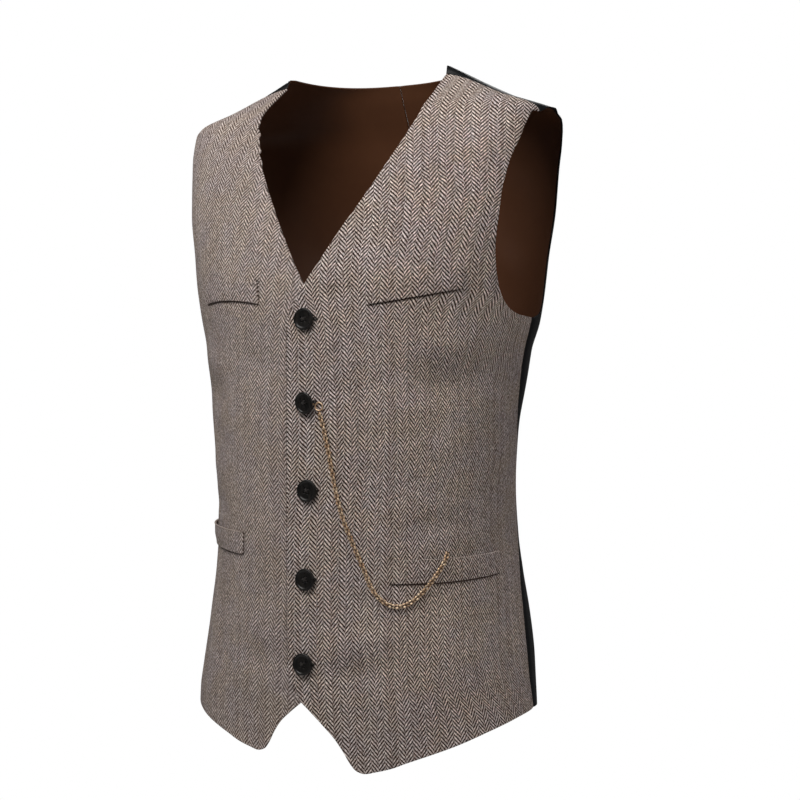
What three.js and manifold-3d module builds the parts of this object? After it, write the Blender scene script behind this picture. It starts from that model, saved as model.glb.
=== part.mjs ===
// A suit waistcoat in its worn, filled-out form: two tweed fronts, a two-piece satin back,
// four pocket welts, five buttons and a watch chain. Sizes are millimetres, Z is up, the
// front faces -Y and the wearer's left is +X. The origin lies between the shoulders.
import * as THREE from "three";
import { mergeVertices } from "three/addons/utils/BufferGeometryUtils.js";
import Module from "manifold-3d";

// Cloth and seams
const FRONT_WALL = 2.5;
const BACK_WALL = 1.6;
const SEAM_GAP = 0.4;
const SEAM_TRIM = 0.14;
const OVERLAP = 18;
const OVERLAP_LIFT = 3.2;
const LIFT_FROM = 24;
const LIFT_TO = 64;

// Grids of the panels
const FRONT_COLUMNS = 19;
const LOW_ROWS = 4;
const MID_ROWS = 11;
const FRONT_ARM_ROWS = 10;
const FRONT_ARM_SHARE = 0.91;
const SHOULDER_ROWS = 3;
const POINT_CROWDING = 1.25;
const ARM_CROWDING = 1.5;
const BACK_COLUMNS = 14;
const BACK_ARM_ROWS = 8;
const BACK_TOP_ROWS = 6;

// Shoulder seam and neck, in plan
const NECK_X = 88;
const NECK_Y = -5;
const TIP_X = 188.5;
const TIP_Y = -9;
const RIDGE_Z = 12;
const LOWEST_TOP = -72;

// Buttons
const BUTTON_RADIUS = 10.2;
const BUTTON_THICK = 3.6;
const BUTTON_STAND = 0.45;
const BAR_BUTTON_STAND = 2.3;
const BAR_BUTTON_TILT = 13;
const BUTTON_XS = [2.5, 4.8, 5.8, 3.9, 1];
const BUTTON_SIDES = 18;
// Distance from the axis and height, as shares of the radius and thickness.
const BUTTON_PROFILE = [
  [0, 0],
  [0.72, 0],
  [1, 0.45],
  [0.985, 0.8],
  [0.88, 1],
  [0.76, 0.78],
  [0, 0.72],
];
const HOLE_RADIUS = 0.9;
const HOLE_SIDES = 6;
const HOLE_OFFSET = 1.9;
const BUTTON_HEIGHTS = [-229.5, -304.9, -385.3, -465.9, -543.1];

// Welts
const WELT_WALL = 2.2;
const WELT_GAP = 0.9;
const WELT_ROUND = 1.6;
const WELT_STEPS = 14;
const WELT_ROWS = 3;

// Watch chain
const CHAIN_DIAMETER = 4.0;
const CHAIN_SIDES = 8;
const CHAIN_STEPS = 48;
const CHAIN_GAP = 0.6;
const RING_RADIUS = 3.7;
const RING_WIRE = 0.65;
const RING_X = 17.5;
const RING_DROP = 4.0;
const BAR_RADIUS = 0.6;
const BAR_LENGTH = 9;
const BAR_GAP = 0.4;
const BAR_RISE = 2;

const NORMAL_STEP = 0.4;

// The body form by height: half width, depth of the front and back, line of greatest width,
// and the squareness of the front and back halves of the ring.
const FORM_COLUMNS = ["z", "half", "front", "back", "mid", "squareFront", "squareBack"];
const FORM = [
  [14, 81, 1.5, 64, 0, 2.5, 2.4],
  [12, 85, 2.5, 65, 0, 2.5, 2.4],
  [3.4, 102, 8, 69, 0, 2.5, 2.6],
  [-6, 120, 21.5, 73, 0, 2.5, 2.8],
  [-20, 149, 41, 80, 0, 2.5, 3.0],
  [-34, 184, 56, 87, 0, 2.5, 3.3],
  [-43, 190, 61, 91, 0, 2.5, 3.4],
  [-60, 190.2, 70, 97, 0, 2.6, 3.2],
  [-85, 188, 82.6, 104, 0, 2.6, 3.0],
  [-120, 185, 94, 112, 1, 2.6, 2.8],
  [-160, 178, 105.5, 118, 2, 2.5, 2.6],
  [-200, 173, 113.5, 119, 4, 2.4, 2.4],
  [-229, 169, 114, 117, 4.5, 2.3, 2.3],
  [-257, 163, 114, 112, 0, 2.2, 2.2],
  [-322, 153.6, 114, 102, -6, 2.2, 2.2],
  [-360, 150.3, 114, 102, -5, 2.2, 2.2],
  [-398, 148.4, 114, 106, -2.5, 2.2, 2.2],
  [-430, 149.0, 114, 110.5, 0.5, 2.2, 2.2],
  [-462, 152.2, 114, 115, 3, 2.2, 2.2],
  [-496, 158, 114, 118, 4, 2.2, 2.2],
  [-532, 164.4, 113.5, 117, 1, 2.2, 2.2],
  [-561, 168.3, 113, 114, -3, 2.2, 2.2],
  [-580, 170.5, 112, 112, -5, 2.2, 2.2],
  [-645, 174, 108, 108, -6, 2.2, 2.2],
];

// Outline of the fronts: the neckline is given by its distance from the centre, the
// armholes and the side seam by their depth, the hem by its ring angle.
const NECKLINE_COLUMNS = ["z", "x"];
const NECKLINE = [
  [-14, 89.5],
  [-20, 90],
  [-36, 88],
  [-60, 79.5],
  [-80, 70.5],
  [-100, 60],
  [-120, 48.6],
  [-150, 30.9],
  [-180, 12.5],
  [-199, 0],
  [-228, -18],
];
const FRONT_ARM_COLUMNS = ["z", "y"];
const FRONT_ARM = [
  [-38, -9],
  [-43, -14.5],
  [-50, -20.7],
  [-60, -30.5],
  [-70, -36],
  [-85, -42.7],
  [-100, -47.2],
  [-120, -51.4],
  [-140, -52.6],
  [-160, -52.7],
  [-180, -50.9],
  [-200, -45.5],
  [-212, -38.3],
  [-220, -29],
  [-225, -14],
  [-227, 10],
];
const BACK_ARM_COLUMNS = ["z", "y"];
const BACK_ARM = [
  [-46, 45],
  [-60, 54],
  [-85, 61],
  [-120, 66],
  [-160, 65],
  [-190, 59],
  [-210, 49],
  [-222, 36],
  [-227, 18],
];
const SEAM_COLUMNS = ["z", "y"];
const SIDE_SEAM = [
  [-227, 14],
  [-266, 11.5],
  [-300, 16.5],
  [-322, 23],
  [-345, 32],
  [-365, 36],
  [-400, 38],
  [-430, 37.5],
  [-447, 34],
  [-465, 28],
  [-482, 23],
  [-500, 19.5],
  [-530, 14.5],
  [-560, 13],
  [-587, 17],
  [-645, 18],
];
const HEM_COLUMNS = ["angle", "z"];
const FRONT_HEM = [
  [-4.9, -556],
  [-1, -577],
  [1.4, -586],
  [5.1, -598],
  [8.4, -609],
  [11.2, -622],
  [12.8, -631],
  [14.8, -638],
  [17.2, -640],
  [20.6, -638],
  [26.1, -634],
  [32, -628],
  [50, -613],
  [67.5, -600],
  [84, -592],
  [101, -587],
];
const BACK_HEM_SIDE = -587;
const BACK_HEM_CENTRE = -600;
const BACK_NECK_DROP = 4;
const NECK_PART = 0.5;
const RING_PART = 0.87;
const RIDGE_ANGLE = 96;
const HEM_BAND = -500;
const RIGHT_RISE = 12;
const RISE_SPREAD_IN = 20;
const RISE_SPREAD_OUT = 54;
const POINT_ANGLE = 17;

// Pocket welts: ring angle and height of the lower edge at the inner and outer end, height of
// the welt at the two ends, and how far the upper edge stands off.
const WELT_COLUMNS = ["name", "side", "a0", "z0", "a1", "z1", "sag", "tall0", "tall1", "stand"];
const WELTS = [
  ["chest_welt_left", 1, 18.5, -217.5, 52, -203.5, 0, 20, 19, 0.6],
  ["chest_welt_right", -1, 13.9, -214.5, 44, -212.2, -3.4, 20, 19, 0.6],
  ["hip_welt_left", 1, 29.8, -468, 82, -460.5, 1.5, 22, 20, 1.2],
  ["hip_welt_right", -1, 27.3, -447.3, 80, -437.5, 0, 21, 20, 2.0],
];

// Route of the chain: distance, height and extra stand-off from the cloth.
const CHAIN_COLUMNS = ["x", "z", "lift"];
const CHAIN_ROUTE = [
  [18.4, -314.3, 0.6],
  [22, -326, 0],
  [28.6, -356, 0],
  [34.4, -387.5, 0],
  [40.6, -409, 0],
  [51, -436, 0],
  [60.5, -458.5, 0],
  [65.5, -471, 0],
  [72, -480, 0],
  [82, -487, 0],
  [92, -487.5, 0],
  [101, -482, 0],
  [108.5, -473, 0.4],
  [113, -465, 3.6],
  [119, -452, 4.4],
  [121.5, -443.5, 4.8],
];

const table = (columns, rows) =>
  rows.map((r) => Object.fromEntries(columns.map((c, i) => [c, r[i]])));

const rise = (t) => t * t * (3 - 2 * t);

const mix = (a, b, t) => a + (b - a) * t;

const clamp01 = (t) => Math.min(1, Math.max(0, t));

// Smooth value of one column of a table at a key, with no overshoot between its rows.
function smooth(rows, key, column, at) {
  const up = rows[rows.length - 1][key] > rows[0][key];
  const list = up ? rows : [...rows].reverse();
  const x = list.map((r) => r[key]);
  const y = list.map((r) => r[column]);
  const n = x.length;
  if (at <= x[0]) return y[0];
  if (at >= x[n - 1]) return y[n - 1];
  let k = 0;
  while (at > x[k + 1]) k++;
  const step = (i) => (y[i + 1] - y[i]) / (x[i + 1] - x[i]);
  const slope = (i) => {
    if (i === 0) return step(0);
    if (i === n - 1) return step(n - 2);
    const a = step(i - 1);
    const b = step(i);
    return a * b <= 0 ? 0 : (2 * a * b) / (a + b);
  };
  const h = x[k + 1] - x[k];
  const t = (at - x[k]) / h;
  const s = 1 - t;
  return (
    y[k] * (1 + 2 * t) * s * s +
    slope(k) * h * t * s * s +
    y[k + 1] * t * t * (3 - 2 * t) -
    slope(k + 1) * h * t * t * s
  );
}

const form = table(FORM_COLUMNS, FORM);
const neckline = table(NECKLINE_COLUMNS, NECKLINE);
const frontArm = table(FRONT_ARM_COLUMNS, FRONT_ARM);
const backArm = table(BACK_ARM_COLUMNS, BACK_ARM);
const sideSeam = table(SEAM_COLUMNS, SIDE_SEAM);
const frontHem = table(HEM_COLUMNS, FRONT_HEM);

// The ring of the body at one height.
function ringAt(z) {
  const ring = {};
  for (const c of FORM_COLUMNS.slice(1)) ring[c] = smooth(form, "z", c, z);
  return ring;
}

// A point of the body, by ring angle (0 front, 90 side, 180 back) and height.
function onRing(angle, z) {
  const ring = ringAt(z);
  const a = THREE.MathUtils.degToRad(angle);
  const s = Math.sin(a);
  const c = Math.cos(a);
  const depth = c > 0 ? ring.front + ring.mid : ring.back - ring.mid;
  const power = 2 / (c > 0 ? ring.squareFront : ring.squareBack);
  const x = ring.half * Math.sign(s) * Math.abs(s) ** power;
  const y = ring.mid - depth * Math.sign(c) * Math.abs(c) ** power;
  return new THREE.Vector3(x, y, z);
}

// Ring angle of a point of the front half, by its distance from the centre.
function angleOfX(x, z) {
  const ring = ringAt(z);
  const f = Math.min(1, Math.abs(x) / ring.half) ** (ring.squareFront / 2);
  return Math.sign(x) * THREE.MathUtils.radToDeg(Math.asin(f));
}

// Ring angle of a point by its depth.
function angleOfY(y, z) {
  const ring = ringAt(z);
  const behind = y > ring.mid;
  const depth = behind ? ring.back - ring.mid : ring.front + ring.mid;
  const square = behind ? ring.squareBack : ring.squareFront;
  const f = Math.min(1, Math.abs(y - ring.mid) / depth) ** (square / 2);
  const a = THREE.MathUtils.radToDeg(Math.asin(f));
  return behind ? 90 + a : 90 - a;
}

// Height of the shoulders above a point of the plan.
function heightAt(x, y) {
  let low = LOWEST_TOP;
  let high = FORM[0][0];
  for (let i = 0; i < 40; i++) {
    const z = (low + high) / 2;
    if (formValue(x, y, z) < 0) low = z;
    else high = z;
  }
  return (low + high) / 2;
}

// Shoulder seam, s from neck to tip, moved forward or back by a distance.
function shoulderSeam(s, back) {
  const x = NECK_X + (TIP_X - NECK_X) * s;
  const y = NECK_Y + (TIP_Y - NECK_Y) * s + back;
  return new THREE.Vector3(x, y, heightAt(x, y));
}

// Rows over the top of the body, straight in plan from one row of points to another.
function shoulderRows(from, to, count) {
  const rows = [];
  for (let j = 1; j < count; j++)
    rows.push(
      from.map((p, i) => {
        const x = mix(p.x, to[i].x, j / count);
        const y = mix(p.y, to[i].y, j / count);
        return new THREE.Vector3(x, y, heightAt(x, y));
      }),
    );
  return [...rows, to];
}

const seamAngle = (z) => angleOfY(smooth(sideSeam, "z", "y", z), z);

// Front edge and neckline of the upper front, by height.
function innerAngle(z) {
  if (z <= NECKLINE[NECKLINE.length - 1][0]) return angleOfX(-OVERLAP, z);
  if (z <= NECKLINE[0][0]) return angleOfX(smooth(neckline, "z", "x", z), z);
  const neck = shoulderSeam(0, -SEAM_GAP / 2);
  const t = (z - NECKLINE[0][0]) / (neck.z - NECKLINE[0][0]);
  return angleOfX(NECKLINE[0][1] + (neck.x - NECKLINE[0][1]) * t, z);
}

// Side seam and armhole edge of the front, by height.
function outerAngle(z) {
  const armBottom = FRONT_ARM[FRONT_ARM.length - 1][0];
  if (z <= armBottom) return seamAngle(z) - SEAM_TRIM;
  return angleOfY(smooth(frontArm, "z", "y", z), z);
}

// Each grid point of the front, rows from the hem to the shoulder.
function frontGrid(hemRise) {
  const rows = [];
  const columns = Array.from({ length: FRONT_COLUMNS + 1 }, (_, i) => i / FRONT_COLUMNS);
  const hemEnd = FRONT_HEM[FRONT_HEM.length - 1][0];
  const hemStart = FRONT_HEM[0][0];
  // The columns crowd toward the front point, where the hem turns.
  const spread = (s) => s ** POINT_CROWDING;
  const hemAngle = (s) => mix(hemStart, hemEnd, s);
  const hemHeight = (s) => {
    const angle = hemAngle(s);
    const spreadOf = angle < POINT_ANGLE ? RISE_SPREAD_IN : RISE_SPREAD_OUT;
    const near = Math.exp(-(((angle - POINT_ANGLE) / spreadOf) ** 2));
    return smooth(frontHem, "angle", "z", angle) + hemRise * near;
  };
  for (let j = 0; j <= LOW_ROWS; j++) {
    const v = j / LOW_ROWS;
    rows.push(
      columns.map((c) => {
        const s = spread(c);
        const z = mix(hemHeight(s), HEM_BAND, v);
        const end = seamAngle(z) - SEAM_TRIM;
        return onRing(mix(angleOfX(-OVERLAP, z), end, s), z);
      }),
    );
  }
  const armBottom = FRONT_ARM[FRONT_ARM.length - 1][0];
  const edgeTop = NECKLINE[NECKLINE.length - 1][0];
  for (let j = 1; j <= MID_ROWS; j++) {
    const v = j / MID_ROWS;
    const inner = mix(HEM_BAND, edgeTop, v);
    const outer = mix(HEM_BAND, armBottom, v);
    rows.push(
      columns.map((c) => {
        const s = spread(c);
        return onRing(mix(innerAngle(inner), outerAngle(outer), s), mix(inner, outer, s));
      }),
    );
  }
  const seam = columns.map((c) => shoulderSeam(c, -SEAM_GAP / 2));
  for (let j = 1; j <= FRONT_ARM_ROWS; j++) {
    const v = (FRONT_ARM_SHARE * j) / FRONT_ARM_ROWS;
    const inner = mix(edgeTop, seam[0].z, v);
    const outer = mix(armBottom, seam[FRONT_COLUMNS].z, v ** ARM_CROWDING);
    rows.push(
      columns.map((c) => {
        const s = mix(spread(c), c, v);
        return onRing(mix(innerAngle(inner), outerAngle(outer), s), mix(inner, outer, s));
      }),
    );
  }
  rows.push(...shoulderRows(rows[rows.length - 1], seam, SHOULDER_ROWS));
  return rows;
}

// Each grid point of the back, rows from the hem to the shoulder.
function backGrid() {
  const rows = [];
  const columns = Array.from({ length: BACK_COLUMNS + 1 }, (_, i) => i / BACK_COLUMNS);
  const centre = 180;
  const armBottom = BACK_ARM[BACK_ARM.length - 1][0];
  const joinZ = BACK_ARM[0][0];
  for (let j = 0; j <= LOW_ROWS + MID_ROWS; j++) {
    const low = j <= LOW_ROWS;
    const v = low ? j / LOW_ROWS : (j - LOW_ROWS) / MID_ROWS;
    rows.push(
      columns.map((c) => {
        const hem = mix(BACK_HEM_CENTRE, BACK_HEM_SIDE, rise(c));
        const z = low ? mix(hem, HEM_BAND, v) : mix(HEM_BAND, armBottom, v);
        return onRing(mix(centre, seamAngle(z) + SEAM_TRIM, c), z);
      }),
    );
  }
  for (let j = 1; j <= BACK_ARM_ROWS; j++) {
    const z = mix(armBottom, joinZ, (j / BACK_ARM_ROWS) ** ARM_CROWDING);
    const edge = angleOfY(smooth(backArm, "z", "y", z), z);
    rows.push(columns.map((c) => onRing(mix(centre, edge, c), z)));
  }
  const join = rows[rows.length - 1];
  const top = columns.map((c) => {
    if (c >= NECK_PART) return shoulderSeam((c - NECK_PART) / (1 - NECK_PART), SEAM_GAP / 2);
    const t = c / NECK_PART;
    const drop = BACK_NECK_DROP * (1 - rise(t));
    if (t < RING_PART) return onRing(mix(centre, RIDGE_ANGLE, t / RING_PART), RIDGE_Z - drop);
    const from = onRing(RIDGE_ANGLE, RIDGE_Z);
    const neck = shoulderSeam(0, SEAM_GAP / 2);
    const x = mix(from.x, neck.x, (t - RING_PART) / (1 - RING_PART));
    const y = mix(from.y, neck.y, (t - RING_PART) / (1 - RING_PART));
    return new THREE.Vector3(x, y, Math.min(heightAt(x, y), RIDGE_Z));
  });
  rows.push(...shoulderRows(join, top, BACK_TOP_ROWS));
  return rows;
}

// How far outside the body's form a point is: zero on the form, more outside it.
function formValue(x, y, z) {
  const ring = ringAt(z);
  const behind = y > ring.mid;
  const depth = behind ? ring.back - ring.mid : ring.front + ring.mid;
  const square = behind ? ring.squareBack : ring.squareFront;
  const sum = (Math.abs(x) / ring.half) ** square + (Math.abs(y - ring.mid) / depth) ** square;
  return sum ** (1 / square) - 1;
}

// Unit normal of the body's form at a point, facing away from the body.
function outward(p) {
  const d = NORMAL_STEP;
  return new THREE.Vector3(
    formValue(p.x + d, p.y, p.z) - formValue(p.x - d, p.y, p.z),
    formValue(p.x, p.y + d, p.z) - formValue(p.x, p.y - d, p.z),
    formValue(p.x, p.y, p.z + d) - formValue(p.x, p.y, p.z - d),
  ).normalize();
}

// A closed wall between two grids of points: the outer face, the inner face and the rim.
function wallGeometry(outer, inner, flip) {
  const height = outer.length;
  const width = outer[0].length;
  const count = height * width;
  const position = [];
  for (const grid of [outer, inner])
    for (const row of grid) for (const p of row) position.push(p.x, p.y, p.z);
  const index = [];
  const face = (a, b, c) => index.push(...(flip ? [a, c, b] : [a, b, c]));
  const quad = (a, b, c, d) => {
    face(a, b, c);
    face(a, c, d);
  };
  const at = (j, i) => j * width + i;
  for (let j = 0; j + 1 < height; j++)
    for (let i = 0; i + 1 < width; i++) {
      quad(at(j, i), at(j, i + 1), at(j + 1, i + 1), at(j + 1, i));
      quad(
        count + at(j, i),
        count + at(j + 1, i),
        count + at(j + 1, i + 1),
        count + at(j, i + 1),
      );
    }
  const rim = [];
  for (let i = 0; i < width; i++) rim.push(at(0, i));
  for (let j = 1; j < height; j++) rim.push(at(j, width - 1));
  for (let i = width - 2; i >= 0; i--) rim.push(at(height - 1, i));
  for (let j = height - 2; j > 0; j--) rim.push(at(j, 0));
  rim.forEach((a, k) => {
    const b = rim[(k + 1) % rim.length];
    quad(b, a, count + a, count + b);
  });
  const g = new THREE.BufferGeometry();
  g.setAttribute("position", new THREE.Float32BufferAttribute(position, 3));
  g.setIndex(index);
  return g;
}

const mirrored = (p) => new THREE.Vector3(-p.x, p.y, p.z);

// How far the upper front stands out where it passes over the other front.
const overlapLift = (x) => OVERLAP_LIFT * rise(clamp01((LIFT_TO - x) / (LIFT_TO - LIFT_FROM)));

// A point of the outer face of a front with its normal, by side, ring angle and height.
function onPanel(side, angle, z) {
  const p = onRing(angle, z);
  const normal = outward(p);
  if (side < 0) return { p: mirrored(p), normal: mirrored(normal) };
  p.addScaledVector(normal, overlapLift(p.x));
  return { p, normal };
}

// A point of the upper front, by distance from the centre and height.
const onFront = (x, z) => onPanel(1, angleOfX(x, z), z);

function frontGeometry(left) {
  const grid = frontGrid(left ? 0 : RIGHT_RISE);
  const normals = grid.map((row) => row.map(outward));
  const moved = (distance) =>
    grid.map((row, j) =>
      row.map((p, i) => {
        const out = left ? overlapLift(p.x) : 0;
        const q = p.clone().addScaledVector(normals[j][i], out + distance);
        return left ? q : mirrored(q);
      }),
    );
  return wallGeometry(moved(0), moved(-FRONT_WALL), !left);
}

function backGeometry(left) {
  const grid = backGrid();
  const normals = grid.map((row) => row.map(outward));
  const moved = (distance) =>
    grid.map((row, j) =>
      row.map((p, i) => {
        const q = p.clone().addScaledVector(normals[j][i], distance);
        if (i === 0) q.x = SEAM_GAP / 2;
        return left ? q : mirrored(q);
      }),
    );
  return wallGeometry(moved(0), moved(-BACK_WALL), left);
}

// A welt: a strip of folded cloth that follows the front, moved out from its points.
function weltGeometry(w) {
  const outer = [];
  const inner = [];
  for (let j = 0; j <= WELT_ROWS; j++) {
    const v = j / WELT_ROWS;
    const outerRow = [];
    const innerRow = [];
    for (let i = 0; i <= WELT_STEPS; i++) {
      const s = i / WELT_STEPS;
      const bottom = mix(w.z0, w.z1, s) + w.sag * -4 * s * (1 - s);
      const z = bottom + mix(w.tall0, w.tall1, s) * v;
      const { p, normal } = onPanel(w.side, mix(w.a0, w.a1, s), z);
      const stand = WELT_GAP + w.stand * v ** 2 * Math.sin(Math.PI * s);
      const ends = Math.min(s, 1 - s) * WELT_STEPS < 0.5 || j === 0 || j === WELT_ROWS;
      const thick = WELT_WALL - (ends ? WELT_ROUND / 2 : 0);
      outerRow.push(p.clone().addScaledVector(normal, stand + thick));
      innerRow.push(p.clone().addScaledVector(normal, stand));
    }
    outer.push(outerRow);
    inner.push(innerRow);
  }
  return wallGeometry(outer, inner, w.side < 0);
}

// A closed geometry as a solid that can be cut, and back again.
function solidOf(wasm, geometry) {
  const bare = geometry.clone();
  bare.deleteAttribute("normal");
  bare.deleteAttribute("uv");
  const merged = mergeVertices(bare, 1e-4);
  const vertProperties = new Float32Array(merged.getAttribute("position").array);
  const all = Array.from(merged.getIndex().array);
  const faces = [];
  for (let i = 0; i < all.length; i += 3) {
    const [a, b, c] = all.slice(i, i + 3);
    if (a !== b && b !== c && a !== c) faces.push(a, b, c);
  }
  const triVerts = new Uint32Array(faces);
  return new wasm.Manifold(new wasm.Mesh({ numProp: 3, vertProperties, triVerts }));
}

function geometryOf(solid) {
  const mesh = solid.getMesh();
  const g = new THREE.BufferGeometry();
  const points = [];
  for (let i = 0; i < mesh.vertProperties.length; i += mesh.numProp)
    points.push(...mesh.vertProperties.slice(i, i + 3));
  g.setAttribute("position", new THREE.Float32BufferAttribute(points, 3));
  g.setIndex(Array.from(mesh.triVerts));
  return g;
}

// A button: a turned disc with a raised rim and a dished face, with four sewing holes.
function buttonSolid(wasm) {
  const r = BUTTON_RADIUS;
  const h = BUTTON_THICK;
  const profile = BUTTON_PROFILE.map(([across, up]) => [across * r, up * h]);
  const turned = new THREE.LatheGeometry(
    profile.map(([x, y]) => new THREE.Vector2(x, y)),
    BUTTON_SIDES,
  ).rotateX(Math.PI / 2);
  let disc = solidOf(wasm, turned);
  for (const [sx, sy] of [[1, 1], [1, -1], [-1, 1], [-1, -1]]) {
    const hole = new THREE.CylinderGeometry(HOLE_RADIUS, HOLE_RADIUS, 3 * h, HOLE_SIDES)
      .rotateX(Math.PI / 2)
      .translate(sx * HOLE_OFFSET, sy * HOLE_OFFSET, 0);
    disc = disc.subtract(solidOf(wasm, hole));
  }
  return geometryOf(disc);
}

// Turns +Z of a geometry to a normal, keeping its Y upward, and moves it to a point.
function placed(geometry, point, normal) {
  const up = new THREE.Vector3(0, 0, 1);
  const x = new THREE.Vector3().crossVectors(up, normal).normalize();
  const y = new THREE.Vector3().crossVectors(normal, x);
  const m = new THREE.Matrix4().makeBasis(x, y, normal).setPosition(point);
  return geometry.clone().applyMatrix4(m);
}

function chainGeometry() {
  const points = table(CHAIN_COLUMNS, CHAIN_ROUTE).map((r) => {
    const { p, normal } = onFront(r.x, r.z);
    return p.addScaledVector(normal, CHAIN_DIAMETER / 2 + CHAIN_GAP + r.lift);
  });
  const path = new THREE.CatmullRomCurve3(points, false, "centripetal");
  const circle = new THREE.Shape();
  for (let i = 0; i < CHAIN_SIDES; i++) {
    const a = (2 * Math.PI * i) / CHAIN_SIDES;
    const x = (CHAIN_DIAMETER / 2) * Math.cos(a);
    const y = (CHAIN_DIAMETER / 2) * Math.sin(a);
    if (i === 0) circle.moveTo(x, y);
    else circle.lineTo(x, y);
  }
  circle.closePath();
  return new THREE.ExtrudeGeometry(circle, {
    steps: CHAIN_STEPS,
    curveSegments: 1,
    extrudePath: path,
  });
}

const wasm = await Module();
wasm.setup();

const tweed = { color: 0x87766c, roughness: 0.95 };
const satin = { color: 0x17191b, roughness: 0.4 };
const horn = { color: 0x15130f, roughness: 0.35 };
const gilt = { color: 0xbe965f, roughness: 0.3, metalness: 1 };

const waistcoat = new THREE.Group();
function add(name, geometry, look) {
  const mesh = new THREE.Mesh(geometry, new THREE.MeshStandardMaterial(look));
  mesh.name = name;
  waistcoat.add(mesh);
}

add("front_left", frontGeometry(true), tweed);
add("front_right", frontGeometry(false), tweed);
add("back_left", backGeometry(true), satin);
add("back_right", backGeometry(false), satin);
for (const w of table(WELT_COLUMNS, WELTS)) add(w.name, weltGeometry(w), tweed);

const button = buttonSolid(wasm);
BUTTON_HEIGHTS.forEach((z, i) => {
  const { p, normal } = onFront(BUTTON_XS[i], z);
  p.addScaledVector(normal, i === 1 ? BAR_BUTTON_STAND : BUTTON_STAND);
  // The bar lifts the second button's upper right, so it faces a little down and inward.
  const lean = i === 1 ? Math.tan(THREE.MathUtils.degToRad(BAR_BUTTON_TILT)) : 0;
  const aside = new THREE.Vector3(-Math.SQRT1_2, 0, -Math.SQRT1_2);
  const facing = normal.clone().addScaledVector(aside, lean).normalize();
  add("button_" + (i + 1), placed(button, p, facing), horn);
});

add("watch_chain", chainGeometry(), gilt);
const ringZ = BUTTON_HEIGHTS[1] - RING_DROP;
const ringSeat = onFront(RING_X, ringZ);
ringSeat.p.addScaledVector(ringSeat.normal, RING_WIRE + CHAIN_GAP);
const ring = new THREE.TorusGeometry(RING_RADIUS, RING_WIRE, CHAIN_SIDES, BUTTON_SIDES);
add("chain_ring", placed(ring, ringSeat.p, ringSeat.normal), gilt);

const barX = RING_X - RING_RADIUS - RING_WIRE - BAR_GAP - BAR_LENGTH / 2;
const barSeat = onFront(barX, ringZ + BAR_RISE);
barSeat.p.addScaledVector(barSeat.normal, BAR_RADIUS + BAR_GAP);
const bar = new THREE.CylinderGeometry(BAR_RADIUS, BAR_RADIUS, BAR_LENGTH, CHAIN_SIDES);
add("chain_bar", placed(bar.rotateZ(Math.PI / 2), barSeat.p, barSeat.normal), gilt);

export default waistcoat;
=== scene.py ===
"""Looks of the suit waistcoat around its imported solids, in metres, in the frame of the model.

Shapes are worked out in millimetres on the same body form as the solids and scaled to metres
when they become meshes.
"""

import math

import bpy
import numpy as np
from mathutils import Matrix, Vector


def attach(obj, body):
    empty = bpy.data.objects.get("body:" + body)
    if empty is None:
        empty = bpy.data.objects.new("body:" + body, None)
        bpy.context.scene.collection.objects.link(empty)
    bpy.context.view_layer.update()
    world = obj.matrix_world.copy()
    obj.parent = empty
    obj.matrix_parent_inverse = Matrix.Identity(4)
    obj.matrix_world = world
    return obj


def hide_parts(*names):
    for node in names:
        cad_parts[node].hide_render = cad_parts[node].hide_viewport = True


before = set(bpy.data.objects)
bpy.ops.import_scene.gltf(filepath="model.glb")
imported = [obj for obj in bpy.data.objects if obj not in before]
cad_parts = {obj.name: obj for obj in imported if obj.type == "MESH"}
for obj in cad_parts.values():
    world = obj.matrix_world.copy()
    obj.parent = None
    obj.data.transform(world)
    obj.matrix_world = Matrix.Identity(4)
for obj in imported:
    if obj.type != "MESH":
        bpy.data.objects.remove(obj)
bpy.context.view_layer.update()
MM = 0.001
TINY = 1e-9

# -------------------- camera, degrees and metres
CAMERA_AZIMUTH = 30.0
CAMERA_DISTANCE = 1.9
CAMERA_HEIGHT = -0.303
CAMERA_LENS = 89.06
CAMERA_SENSOR = 36
CAMERA_SHIFT = 0.04125

camera_data = bpy.data.cameras.new("camera")
camera = bpy.data.objects.new("camera", camera_data)
bpy.context.scene.collection.objects.link(camera)
turn = math.radians(CAMERA_AZIMUTH)
camera.location = (
    CAMERA_DISTANCE * math.sin(turn),
    -CAMERA_DISTANCE * math.cos(turn),
    CAMERA_HEIGHT,
)
camera.rotation_euler = (math.pi / 2, 0, turn)
camera_data.lens = CAMERA_LENS
camera_data.sensor_width = CAMERA_SENSOR
camera_data.shift_x = CAMERA_SHIFT
bpy.context.scene.camera = camera

# -------------------- sizes, in millimetres
FRONT_WALL = 2.4
BACK_WALL = 1.5
SEAM_GAP = 0.03
SEAM_TRIM = 0.03
OVERLAP = 18
OVERLAP_LIFT = 3.2
LIFT_FROM = 24
LIFT_TO = 64
ARM_SHARE = 0.91
ARM_CROWDING = 1.5
NECK_X = 88
NECK_Y = -5
TIP_X = 188.5
TIP_Y = -9
RIDGE_Z = 12
LOWEST_TOP = -72
NORMAL_STEP = 0.4
BACK_HEM_SIDE = -587
BACK_HEM_CENTRE = -600
BACK_NECK_DROP = 4
NECK_PART = 0.5
RING_PART = 0.87
RIDGE_ANGLE = 96
HEM_BAND = -500
RIGHT_RISE = 12
RISE_SPREAD_IN = 20
RISE_SPREAD_OUT = 54
POINT_ANGLE = 17
HALVINGS = 34
# distances from a cloth edge of the close rows that round it, and how clear of them the rest is
EDGE_ROWS = np.array([0.1, 0.35, 0.75, 1.3, 2.1])
EDGE_CLEAR = 1.5
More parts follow.
